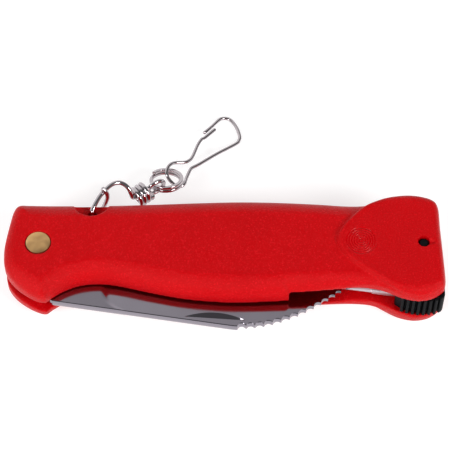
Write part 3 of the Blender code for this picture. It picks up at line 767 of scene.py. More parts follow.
@dataclass
class HandleShells:
    """The two red shells: rounded slabs with a slot between them, open at both ends.

    A rim point is (x, y, how far in the flat face starts, how deep the rounding goes, sharp).
    """

    face: float = 8.0
    plateau_face: float = 9.0
    plateau_foot: float = 3.0
    ceiling: float = 8.9
    back: tuple[float, float] = (-0.5, 85.5)
    slot_half: float = 2.3
    slot_growth: float = 0.0206
    lip_half: float = 1.65
    lip_top: float = -7.0
    pocket_start: float = 62.8
    pocket_half: float = 4.3
    pocket_relief: float = 0.6
    far_lift: float = 1.6
    lip_reach: float = -30.0
    parting: float = 0.12
    past_faces: float = 12.0
    scoop: tuple[float, float, float] = (12.9, 12.2, 4.4)
    scoop_floor: float = 4.0
    lanyard_bore: float = 1.15
    axle_bore: float = 1.5
    rivet_bore: float = 2.6
    rivet_seat: tuple[float, float] = (3.26, 1.5)
    pin_socket: tuple[float, float] = (1.3, 5.8)
    screw_seat: tuple[float, float] = (1.8, 5.0)
    mark: tuple[float, float, float] = (81.0, -0.1, 3.95)
    below: Ring = (
        (-8.6, -2.6, 2.4, 2.6, 0), (-8.1, -6.2, 2.8, 3.0, 0), (-5.9, -9.6, 3.2, 3.8, 0),
        (-2.6, -12.3, 3.6, 4.4, 0), (0.3, -13.8, 3.9, 4.8, 0), (2.1, -14.1, 3.9, 5.0, 1),
        (4.0, -12.5, 3.9, 5.0, 0), (7.0, -10.6, 4.0, 5.0, 0), (10.8, -9.2, 4.0, 5.0, 0),
        (15.5, -8.75, 4.1, 5.0, 0), (20.5, -9.4, 4.2, 5.0, 0), (28.0, -11.2, 4.4, 5.0, 0),
        (37.0, -13.0, 4.6, 5.0, 0), (47.0, -13.9, 4.6, 5.0, 0), (55.0, -13.8, 4.4, 5.0, 0),
    )
    below_pocket: Ring = (
        (68.5, -12.9, 3.8, 4.4, 0), (75.0, -12.2, 3.2, 3.6, 0), (80.0, -11.8, 2.6, 2.6, 0),
    )
    butt: Ring = (
        (84.0, -11.6, 1.8, 1.8, 0), (87.0, -12.5, 1.5, 1.5, 0), (90.6, -14.1, 1.8, 2.0, 0),
        (94.5, -15.0, 2.2, 2.4, 0), (98.0, -14.5, 2.2, 2.4, 0), (100.6, -12.9, 1.8, 2.0, 0),
        (101.6, -10.8, 1.4, 1.5, 0), (101.4, -2.6, 1.4, 1.5, 0), (101.1, 4.5, 1.4, 1.5, 0),
        (100.9, 10.6, 1.4, 1.5, 0), (99.6, 12.7, 1.6, 1.8, 0), (96.8, 13.9, 1.9, 2.2, 0),
        (93.4, 14.3, 1.9, 2.2, 0), (89.6, 13.8, 1.9, 2.1, 0), (86.2, 12.8, 2.4, 2.4, 0),
    )
    over_back: Ring = (
        (83.2, 12.5, 4.0, 4.0, 0), (78.5, 12.7, 5.0, 5.0, 0), (70.0, 13.3, 5.0, 5.0, 0),
        (60.0, 13.8, 5.0, 5.0, 0), (50.0, 13.95, 5.0, 5.0, 0), (39.0, 13.65, 5.0, 5.0, 0),
        (27.0, 13.15, 5.0, 5.0, 0), (15.0, 12.85, 5.0, 5.0, 0), (3.0, 12.8, 5.0, 5.0, 0),
        (-3.0, 12.75, 4.4, 4.8, 0), (-5.6, 12.2, 3.0, 4.0, 0), (-6.8, 10.2, 2.5, 3.0, 0),
        (-7.6, 6.0, 2.2, 2.6, 0), (-8.4, 1.0, 2.2, 2.6, 0),
    )
    plateau: Ring = (
        (75.0, 0.4, 0.6), (76.4, -3.0, 0.6), (79.2, -6.0, 0.6), (83.2, -9.1, 0.7),
        (87.2, -12.0, 1.0), (90.7, -13.95, 1.8), (94.5, -14.8, 2.4), (97.9, -14.3, 2.4),
        (100.4, -12.75, 2.2), (101.4, -10.7, 2.0), (101.2, -2.6, 2.0), (100.9, 4.5, 2.0),
        (100.7, 10.5, 1.9), (99.45, 12.55, 2.1), (96.7, 13.7, 2.4), (93.4, 14.1, 2.4),
        (89.7, 13.6, 2.0), (86.3, 12.5, 1.4), (82.2, 10.3, 0.8), (78.6, 6.9, 0.6),
        (76.0, 3.6, 0.6),
    )
    ridge: float = 0.16
    skin: float = 0.3
    skin_passes: int = 3
    rim_steps: int = 14
    last_turn: float = 74.0

    def rim(self, side: Side) -> np.ndarray:
        """Rim points of one shell; the near one's lip steps back over the pocket.

        Args:
            side: Which shell.

        Returns:
            The rim's rows.
        """
        relief = self.pocket_relief if side is Side.NEAR else 0.0
        step = self.pocket_start
        lip = [(step - 0.1, -13.35, 4.1, 4.8, 1), (step + 0.1, -13.3 + relief, 4.0, 4.7, 1)]
        over = [(x, y + relief, inset, drop, sharp)
                for x, y, inset, drop, sharp in self.below_pocket]
        rim = np.array([*self.below, *lip, *over, *self.butt, *self.over_back], float)
        return self.raised(rim, side)

    def raised(self, rows: np.ndarray, side: Side) -> np.ndarray:
        """Outline rows with the far shell's lower edge lifted as it runs to the butt.

        Args:
            rows: Outline points, whose first two columns are X and Y.
            side: Which shell.

        Returns:
            The rows, changed for the far shell.
        """
        x, y = rows[:, 0], rows[:, 1]
        along = np.clip((x - 50.0) / 14.0, 0.0, 1.0)
        faded = 1.0 - 0.7 * np.clip((x - 80.0) / 14.0, 0.0, 1.0)
        lift = self.far_lift * along * faded * np.clip((-y - 6.0) / 5.0, 0.0, 1.0)
        moved = rows.copy()
        moved[:, 1] += lift if side is Side.FAR else 0.0
        return moved

    def body(self, side: Side) -> bpy.types.Object:
        """The rounded slab of one shell.

        Each ring runs round the rim.  From the side up to the flat face it moves in by
        (1 - cos a) / (1 - cos m) of the inset and rises by sin a / sin m of the rounding,
        where a goes from 0 to the last turn m, so a faint crease is left at the flat face.

        Args:
            side: Which shell.

        Returns:
            The slab.
        """
        rim = self.rim(side)
        sharp = rim[:, 4] > 0
        outer = catmull_rom(rim[:, :2], self.rim_steps, True, sharp)
        inner = catmull_rom(mitred(rim[:, :2], rim[:, 2]), self.rim_steps, True, sharp)
        drop = catmull_rom(rim[:, 3:4], self.rim_steps, True, sharp)
        last = math.radians(self.last_turn)
        turn = np.linspace(0.0, last, 14)[:, None, None]
        share = (1.0 - np.cos(turn)) / (1.0 - math.cos(last))
        flat = outer[None] + (inner - outer)[None] * share
        rise = self.face - drop[None] * (1.0 - np.sin(turn) / math.sin(last))
        rings = np.concatenate([flat, side.value * rise], 2)
        foot = np.column_stack([outer, np.zeros(len(outer))])[None]
        return grid_object("body", np.concatenate([foot, rings]))

    def raised_butt(self, side: Side) -> bpy.types.Object:
        """The raised teardrop, rounded along its top edge by the last number of each point.

        On the near side a ridge a sixth of a millimetre high runs just inside the rounding,
        where that is small, and fades out where the teardrop's edge is the butt's own.

        Args:
            side: Which shell.

        Returns:
            The teardrop, down to its foot inside the slab.
        """
        ridge = self.ridge if side is Side.NEAR else 0.0
        rows = self.raised(np.array(self.plateau), side)
        points, edges = rows[:, :2], rows[:, 2]
        down = catmull_rom(rows[:, 2:3], 10, True)
        fade = 1.0 - smoothstep((down - 0.7) / 0.6)
        outer = catmull_rom(points, 10, True)
        rings = [np.column_stack([outer, np.full(len(outer), side.value * self.plateau_foot)])]
        for turn in np.radians(np.linspace(0.0, 90.0, 9)):
            line = catmull_rom(mitred(points, edges * (1.0 - math.cos(turn))), 10, True)
            lift = ridge * fade * math.sin(turn) ** 4
            height = self.plateau_face - down * (1.0 - math.sin(turn)) + lift
            rings.append(np.column_stack([line, side.value * height]))
        for extra, share in ((0.25, 0.8), (0.5, 0.2), (0.75, 0.0)):
            line = catmull_rom(mitred(points, edges + extra), 10, True)
            height = self.plateau_face + ridge * fade * share
            rings.append(np.column_stack([line, side.value * height]))
        return grid_object("raised_butt", np.array(rings))

    def bar(self, side: Side, x: float, y: float, radius: float, start: float,
            end: float) -> bpy.types.Object:
        """An upright round cutter between two heights on one side of the middle plane.

        Args:
            side: Which side.
            x: Place of its axis.
            y: Place of its axis.
            radius: Its radius.
            start: Height of its end nearer the middle plane.
            end: Height of its other end.

        Returns:
            The cutter.
        """
        low, high = sorted((side.value * start, side.value * end))
        return turned("bar", rod(radius, low, high), x, y)

    def slot(self, side: Side) -> bpy.types.Object:
        """The wedge between the shells: its half width grows steadily towards the butt.

        It stays above the near lip, which closes in on the blade as far as the pocket.

        Args:
            side: Which shell it is cut from.

        Returns:
            The cutter.
        """
        start, end = self.back
        step, top, reach = self.pocket_start + 0.1, self.lip_top, self.lip_reach
        outline = np.array(((-20.0, top), (step, top), (step, reach), (115.0, reach),
                            (115.0, 25.0), (end, 25.0), (end - 0.8, self.ceiling),
                            (start, self.ceiling), (start, 25.0), (-20.0, 25.0)))
        if side is Side.FAR:
            outline[:2, 1] = reach
        wide = self.slot_half + self.slot_growth * outline[:, 0]
        below = np.full(len(outline), -1.0)
        return grid_object("slot", np.stack([np.column_stack([outline, side.value * below]),
                                             np.column_stack([outline, side.value * wide])]))

    def cutters(self, side: Side) -> list[bpy.types.Object]:
        """Everything that is cut out of one shell.

        Args:
            side: Which shell.

        Returns:
            The cutters.
        """
        reach, out = self.lip_reach, self.past_faces
        plane = ((-20.0, reach), (115.0, reach), (115.0, 25.0), (-20.0, 25.0))
        step, top = self.pocket_start + 0.2, self.lip_top + 0.1
        lips = ((-20.0, reach), (step, reach), (step, top), (-20.0, top))
        radius, depth = self.rivet_seat
        found = [slab("parting", plane, *sorted((-side.value * 2.0, side.value * self.parting))),
                 self.slot(side),
                 slab("lips", lips, *sorted((-side.value, side.value * self.lip_half))),
                 self.bar(side, *self.scoop, self.scoop_floor, out),
                 self.bar(side, *LANYARD, self.lanyard_bore, -1.0, out),
                 self.bar(side, *HUB, self.axle_bore, -1.0, out),
                 self.bar(side, 0.0, 0.0, self.rivet_bore, -1.0, out),
                 self.bar(side, 0.0, 0.0, radius, self.face - depth, out)]
        radius, depth = self.pin_socket
        found += [self.bar(side, x, y, radius, -1.0, depth) for x, y in SPRING_PINS]
        if side is Side.NEAR:
            start, end = self.pocket_start, self.back[1]
            pocket = ((start, reach), (115.0, reach), (115.0, 25.0), (end, 25.0),
                      (end - 0.8, self.ceiling), (start, self.ceiling))
            found.append(slab("pocket", pocket, -1.0, self.pocket_half))
            x, y = HUB
            lead = ((x, y - 0.85), (x + 2.4, y - 0.6), (x + 2.9, y), (x + 2.4, y + 0.6),
                    (x, y + 0.85))
            found.append(slab("lead_in", lead, self.plateau_face - 0.6, out))
        else:
            radius, depth = self.screw_seat
            found += [self.bar(side, x, y, radius, depth, out) for x, y in SCREWS]
        return found

    def build(self) -> None:
        """Make both shells and dress them."""
        x, y, radius = self.mark
        for side, name, node in ((Side.NEAR, "near_shell", "near_handle_shell"),
                                 (Side.FAR, "far_shell", "far_handle_shell")):
            shell = self.body(side)
            shell.name = name
            combine(shell, [self.raised_butt(side)], Joining.UNION)
            combine(shell, self.cutters(side), Joining.DIFFERENCE)
            mould(shell, self.skin * (1.0), self.skin_passes)
            top = side.value * self.plateau_face
            mark = tuple(in_frame(np.array([x, y, top])))
            finish = RED_SHELL.build(mark, radius * MM)
            dress(shell, finish, HANDLE, "red_shell", node)


# --------------------------------------------------------------------- blade


@dataclass
class Blade:
    """Sheepsfoot blade, laid out by u along it from its axis and v across it, spine below."""

    droop: float = math.radians(8.9)
    spine: float = -12.3
    edge: float = 7.2
    spine_run: tuple[float, float] = (5.6, 50.5)
    tip: float = 82.0
    heel: float = 12.5
    tang: float = 6.6
    half: float = BLADE_HALF
    edge_half: float = 0.13
    ground_off: float = 0.08
    plunge_width: float = 1.6
    teeth: int = 14
    tooth_depth: float = 0.7
    toothed: tuple[float, float] = (0.045, 0.80)
    bore: float = 2.6
    nick: tuple[float, float, float, float] = (38.9, -11.55, 54.2, -10.25)
    nick_rise: float = 1.75
    nick_depth: float = 0.66
    chamfer: float = 0.17
    crown: float = 0.16

    def belly(self, t: np.ndarray) -> np.ndarray:
        """Bezier curve from the end of the straight spine round to the tip.

        Args:
            t: Places along it, from 0 to 1.

        Returns:
            Those places' u and v.
        """
        start = self.spine_run[1]
        p = np.array(((start, self.spine), (start + 14.0, self.spine), (self.tip - 5.0, 1.5),
                      (self.tip, self.edge)))
        w = np.stack([(1 - t) ** 3, 3 * t * (1 - t) ** 2, 3 * t ** 2 * (1 - t), t ** 3], 1)
        return w @ p

    def spine_side(self) -> np.ndarray:
        """Line of the tang's lower half, the shoulder, the spine and the toothed belly.

        A tooth is the stretch between two hollows; each hollow follows |sin|, so that the
        crests stay narrow and the hollows round.

        Returns:
            The line's u and v.
        """
        turn = np.radians(np.linspace(180.4, 301.0, 50))
        tang = self.tang * np.stack([np.cos(turn), np.sin(turn)], 1)
        shoulder = catmull_rom(np.array(((3.4, -5.66), (4.2, -9.6), (4.7, -11.5),
                                         (4.95, -12.05), (5.6, self.spine))), 8)[1:]
        straight = np.stack([np.linspace(*self.spine_run, 110)[1:],
                             np.full(109, self.spine)], 1)
        first, last = self.toothed
        t = np.concatenate([np.linspace(0.0, last, 262)[1:], np.linspace(last, 1.0, 24)[1:]])
        line = self.belly(t)
        ahead = np.gradient(line, axis=0)
        ahead /= np.linalg.norm(ahead, axis=1, keepdims=True)
        inward = np.stack([-ahead[:, 1], ahead[:, 0]], 1)
        phase = np.clip((t - first) / (last - first), 0.0, 1.0) * self.teeth
        on = (phase > 0.0) & (phase < self.teeth)
        hollow = np.abs(np.sin(math.pi * phase)) ** 0.8 * self.tooth_depth
        line += inward * np.where(on, hollow + 0.25 * smoothstep(phase * 4), 0.0)[:, None]
        return np.vstack([tang, shoulder, straight, line])

    def edge_side(self, like: np.ndarray) -> np.ndarray:
        """Line of the tang's upper half, the heel and the straight edge, paired to the spine's.

        Args:
            like: The spine side's line, whose places these are paired to.

        Returns:
            As many places as the spine side has.
        """
        turn = np.radians(np.linspace(179.6, 47.0, 50))
        tang = self.tang * np.stack([np.cos(turn), np.sin(turn)], 1)
        rest = like[50:]
        reach = np.maximum.accumulate(rest[:, 0])
        u = tang[-1, 0] + (self.tip - tang[-1, 0]) * (reach - reach[0]) / (self.tip - reach[0])
        v = np.interp(u, (tang[-1, 0], self.heel - 1.0, self.heel, self.tip),
                      (tang[-1, 1], self.edge - 1.8, self.edge, self.edge + 0.06))
        return np.vstack([tang, np.stack([u, v], 1)])

    def half_thickness(self, u: np.ndarray, v: np.ndarray) -> np.ndarray:
        """Half thickness: full behind the plunge line, hollow-ground from spine to edge past it.

        The plunge line curves out along the spine as 16 + 4 exp(-d / 1.1) + 3 exp(-d / 5), d
        being the distance from the spine; past it the half thickness falls as (1 - w)^0.8.

        Args:
            u: Places along the blade.
            v: Places across it.

        Returns:
            The half thickness at each place.
        """
        d = np.maximum(v - self.spine, 0.0)
        plunge = 16.0 + 4.0 * np.exp(-d / 1.1) + 3.0 * np.exp(-d / 5.0)
        ground = smoothstep((u - plunge) / self.plunge_width)
        w = np.clip(d / (self.edge - self.spine), 0.0, 1.0)
        at_spine = self.half - self.ground_off
        hollow = self.edge_half + (at_spine - self.edge_half) * (1.0 - w) ** 0.8
        return self.half * (1.0 - ground) + hollow * ground

    def place(self, u: np.ndarray, v: np.ndarray, height: np.ndarray) -> np.ndarray:
        """Lay the blade's own u and v down along its drooping axis.

        Args:
            u: Places along the blade.
            v: Places across it.
            height: Places out of the middle plane.

        Returns:
            The places in X, Y and Z.
        """
        c, s = math.cos(self.droop), math.sin(self.droop)
        return np.stack([c * u + s * v, -s * u + c * v, height], -1)

    def nick_cutter(self) -> bpy.types.Object:
        """Cutter of the nail nick: a bow over a straight line along the spine.

        Its floor is deepest along the straight line and climbs to the face at the bow.

        Returns:
            The cutter.
        """
        u0, v0, u1, v1 = self.nick
        along = np.linspace(0.0, 1.0, 61)[1:-1, None]
        over = np.linspace(0.0, 1.0, 14)[None]
        bow = self.nick_rise * (1.0 - (2.0 * along - 1.0) ** 2)
        u = u0 + (u1 - u0) * along + 0.0 * over
        v = v0 + (v1 - v0) * along + bow * over
        floor = self.half_thickness(u, v) - self.nick_depth * (1.0 - over) * np.sqrt(
            bow / self.nick_rise)
        bottom = self.place(u, v, floor + 0.02 * over)
        top = self.place(u, v, np.full_like(u, self.half + 1.0))[:, ::-1]
        return grid_object("nick", np.concatenate([bottom, top], 1))

    def build(self) -> None:
        """Loft the section from tang to tip, bore it and dress it.

        The section runs along the near face, back along the far face and over the spine, which
        is crowned by (1 - s^2) of the crown, s going from -1 to 1 across it.
        """
        below = self.spine_side()
        above = self.edge_side(below)
        across = np.concatenate([[0.0, 0.009], np.linspace(0.02, 0.25, 22),
                                 np.linspace(0.25, 1.0, 26)[1:]])[None, :, None]
        lines = below[:, None] * (1.0 - across) + above[:, None] * across
        u, v = lines[..., 0], lines[..., 1]
        half = self.half_thickness(u, v)
        half[:, 0] -= self.chamfer
        near, far = self.place(u, v, half), self.place(u, v, -half)[:, ::-1]
        out = near[:, :1] - near[:, 2:3]
        out[..., 2] = 0.0
        out *= self.crown / np.linalg.norm(out, axis=2, keepdims=True)
        share = np.array([-0.8, -0.45, 0.0, 0.45, 0.8])[None, :, None]
        middle = (near[:, :1] + far[:, -1:]) / 2
        rounded = (middle + share * (near[:, :1] - middle)) + out * (1.0 - share ** 2)
        blade = grid_object("sheepsfoot_blade", np.concatenate([near, far, rounded], 1))
        combine(blade, [self.nick_cutter()], Joining.DIFFERENCE)
        bore = turned("bore", rod(self.bore, -5.0, 5.0), 0.0, 0.0)
        combine(blade, [bore], Joining.DIFFERENCE)
        tidy_mesh(blade.data, 11.0)
        dress(blade, BLADE_STEEL.build(), "blade", "blade_steel", "blade")


# --------------------------------------------------------------------- pivot


@dataclass
class Pivot:
    """The two-part brass rivet and the washers beside the tang."""

    head: float = 3.1
    face: float = 8.0
    rest: float = -9.0
    shank: float = 1.6
    sleeve: tuple[float, float] = (1.9, 2.3)
    washer: tuple[float, float] = (2.6, 5.2)
    sunk: float = 0.15
    shank_end: float = -6.4
    edge: float = 0.22
    edge_start: float = 0.06

    def build(self) -> None:
        """Make the rivet's halves and the washers."""
        top, under, end = self.face - self.sunk, self.face - 1.1, self.shank_end
        edge, start = self.edge, self.edge_start
        inner, outer = self.sleeve
        brass = RIVET_BRASS.build()
        rivet = turned("brass_rivet", (
            (0.0, top), (1.5, top), (self.head - edge, top), (self.head - start, top - start),
            (self.head, top - edge), (self.head, under), (self.shank, under),
            (self.shank, end), (0.0, end)), 0.0, 0.0)
        dress(rivet, brass, HANDLE, "rivet_brass", "pivot_rivet")
        seat = -self.face + 1.2
        sleeve = turned("brass_sleeve", (
            (0.0, end - 0.4), (inner, end - 0.4), (inner, under - 0.3), (outer, under - 0.3),
            (outer, seat), (self.head, seat), (self.head, self.rest + edge),
            (self.head - start, self.rest + start), (self.head - edge, self.rest),
            (0.0, self.rest)), 0.0, 0.0)
        dress(sleeve, brass, HANDLE, "rivet_brass", "pivot_sleeve")
        steel = SPRING_STEEL.build()
        bore, rim = self.washer
        for node, low in (("near_pivot_washer", 1.5), ("far_pivot_washer", -2.0)):
            washer = turned(node + "_ring", soft_ring(bore, rim, low, low + 0.5), 0.0, 0.0)
            dress(washer, steel, HANDLE, "spring_steel", node)


def soft_ring(bore: float, rim: float, low: float, high: float) -> Ring:
    """Profile of a flat washer whose outer edges are broken by a tenth of a millimetre.

    Args:
        bore: Radius of its hole.
        rim: Radius of its outside.
        low: Height of its lower face.
        high: Height of its upper face.

    Returns:
        The profile, closed on itself.
    """
    edge = 0.1
    return ((rim - edge, high), (rim, high - edge), (rim, low + edge), (rim - edge, low),
            (bore, low), (bore, high))


# --------------------------------------------------------------------- spike


@dataclass
class SpikeAndHub:
    """The marlinspike and the ribbed thumb hub that turn together on the black axle."""

    hole: float = 1.5
    axle: tuple[float, float] = (1.2, 8.2)
    near: float = -1.6
    far: float = -3.45
    eye: float = 4.4
    root: float = 86.0
    tip: float = 36.0
    lower_side: float = -8.95
    upper_side: float = -1.75
    climb: float = 0.135
    boss: float = 4.6
    half: float = 3.95
    paddle: float = 14.3
    sides: tuple[float, float] = (6.3, 5.1)
    paddle_left: float = 7.0
    paddle_top: float = 10.1
    corner: tuple[float, float, float] = (3.5, 12.0, 1.6)
    rib_depth: float = 0.9
    ribbed: tuple[float, float] = (-115.0, -75.0)
    ribs: int = 7
    washer: float = 4.2

    def spike(self) -> bpy.types.Object:
        """Round-sectioned taper grown out of a flat root plate with an eye.

        A station's section is an ellipse; its lower line climbs steadily to the tip, and the
        last eighth draws in as a square root to a blunt point.

        Returns:
            The spike.
        """
        x, y = HUB
        turn = np.radians(np.linspace(-128.0, 158.0, 60))
        eye = np.stack([x + self.eye * np.cos(turn), y + self.eye * np.sin(turn)], 1)
        tail = np.array(((89.2, -1.7), (84.0, -1.8), (84.0, -8.6), (89.2, -9.4), (92.0, -9.3)))
        plate = slab("marlinspike_steel", np.vstack([eye, tail]), self.far, self.near, 0.18)
        t = np.linspace(0.0, 1.0, 90)[:, None]
        place = self.root + (self.tip - self.root) * t
        lower = self.lower_side + (self.root - place) * self.climb
        upper = self.upper_side + 0.25 * t
        blunt = np.sqrt(np.minimum(1.0, 6.0 * (1.0 - t) + 0.05))
        tall = (upper - lower) / 2 * blunt
        deep = ((self.near - self.far) / 2 - 0.05) * (1.0 - 0.5 * t) * blunt
        round_turn = np.linspace(0.0, 2 * math.pi, 40, endpoint=False)[None]
        grid = np.stack([np.repeat(place, 40, 1),
                         (upper + lower) / 2 + tall * np.cos(round_turn),
                         (self.near + self.far) / 2 + 0.3 * t + deep * np.sin(round_turn)], -1)
        combine(plate, [grid_object("taper", grid)], Joining.UNION)
        combine(plate, [self.bar(self.hole)], Joining.DIFFERENCE)
        mould(plate, 0.2, 3)
        return plate

    def bar(self, radius: float) -> bpy.types.Object:
        """A cutter of that radius on the axle's line."""
        return turned("bar", rod(radius, -9.5, 9.5), *HUB)

    def thumb_hub(self) -> bpy.types.Object:
        """Paddle with ribs that run along the axle's direction, on a neck and a round boss.

        Each rib is a flat-topped wave round the paddle's end, smoothed by its own steep sides.

        Returns:
            The hub.
        """
        x, y = HUB
        left, right = self.sides
        place = np.linspace(0.0, self.ribs, self.ribs * 16 + 1)
        within = place % 1.0
        crest = smoothstep((within - 0.06) / 0.16) * smoothstep((0.84 - within) / 0.16)
        first, last = self.ribbed
        angle = np.radians(first + (last - first) * place / self.ribs)
        reach = self.paddle - self.rib_depth * (1.0 - crest)
        ribs = np.stack([x + reach * np.cos(angle), y + reach * np.sin(angle)], 1)
        turn = np.radians(np.linspace(-75.0, -10.0, 12))
        over, under, radius = self.corner
        corner = np.stack([x + over + radius * np.cos(turn), y - under + radius * np.sin(turn)],
                          1)
        top, start = y - self.paddle_top, x - self.paddle_left
        outline = np.vstack([[(start, top), (start, y - 11.2)], ribs, corner,
                             [(x + right, top)]])
        hub = slab("thumb_hub_moulding", outline, -self.half, self.half, 0.25)
        foot = self.near + 0.3
        low_left, low_right = x - left + 0.3, x + right - 0.5
        neck = ((low_left, y + 2.0), (low_left, y - 11.5), (low_right, y - 11.5),
                (low_right, y), (x, y + self.boss - 0.4), (low_left + 1.2, y + 3.2))
        boss = turned("boss", rod(self.boss, foot, 3.45), x, y)
        combine(hub, [slab("neck", neck, foot, 3.4), boss], Joining.UNION)
        combine(hub, [self.bar(self.hole)], Joining.DIFFERENCE)
        mould(hub, 0.14, 2)
        return hub

    def build(self) -> None:
        """Make the spike, hub, axle and hub washers."""
        dress(self.spike(), SPIKE_STEEL.build(), "spike", "spike_steel", "marlinspike")
        dress(self.thumb_hub(), BLACK_HUB.build(), "spike", "black_moulding", "thumb_hub")
        radius, half = self.axle
        axle = turned("black_axle_pin", rod(radius, -half, half, 0.2), *HUB)
        dress(axle, BLACK_AXLE.build(), HANDLE, "black_axle", "hub_axle")
        steel = SPRING_STEEL.build()
        for node, low in (("near_hub_washer", 3.7), ("far_hub_washer", -4.05)):
            ring = turned(node + "_ring", soft_ring(self.hole, self.washer, low, low + 0.35),
                          *HUB)
            dress(ring, steel, HANDLE, "spring_steel", node)


# -------------------------------------------------------------------- spring


@dataclass
class BackSpring:
    """The two-ended leaf spring, its two pins and the two screws that close the back."""

    half: float = 1.9
    pin: tuple[float, float] = (1.0, 5.5)
    pin_bore: float = 1.15
    outline: Ring = (
        (-3.2, 6.95), (6.0, 6.95), (16.0, 6.8), (27.0, 5.3), (34.0, 5.0), (58.0, 5.0),
        (66.0, 5.4), (76.0, 6.8), (86.0, 6.9), (89.3, 6.2), (90.1, 3.6), (91.0, 3.9),
        (90.7, 7.2), (87.6, 8.6), (-3.2, 8.6),
    )

    def build(self) -> None:
        """Make the spring, pins and screws."""
        steel = SPRING_STEEL.build()
        leaf = slab("leaf_spring", self.outline, -self.half, self.half, 0.12)
        bores = [turned("bar", rod(self.pin_bore, -9.0, 9.0), x, y) for x, y in SPRING_PINS]
        combine(leaf, bores, Joining.DIFFERENCE)
        tidy_mesh(leaf.data)
        dress(leaf, steel, HANDLE, "spring_steel", "back_spring")
        radius, half = self.pin
        for node, (x, y) in zip(("front_spring_pin", "rear_spring_pin"), SPRING_PINS):
            pin = turned(node + "_steel", rod(radius, -half, half, 0.15), x, y, 40)
            dress(pin, steel, HANDLE, "spring_steel", node)
        for node, (x, y) in zip(("front_screw", "rear_screw"), SCREWS):
            screw = turned(node + "_steel", (
                (0.0, 4.6), (0.5, 4.6), (0.9, 4.2), (0.9, -5.1), (1.5, -5.1), (1.5, -6.1),
                (1.3, -6.3), (0.0, -6.3)), x, y, 48)
            drive = slab("drive", ((x - 0.6, y - 0.2), (x + 0.6, y - 0.2), (x + 0.6, y + 0.2),
                                   (x - 0.6, y + 0.2)), -7.0, -5.8)
            cross = slab("cross", ((x - 0.2, y - 0.6), (x + 0.2, y - 0.6), (x + 0.2, y + 0.6),
                                   (x - 0.2, y + 0.6)), -7.0, -5.8)
            combine(screw, [drive, cross], Joining.DIFFERENCE)
            tidy_mesh(screw.data)
            dress(screw, steel, HANDLE, "spring_steel", node)


# --------------------------------------------------------------------- chain


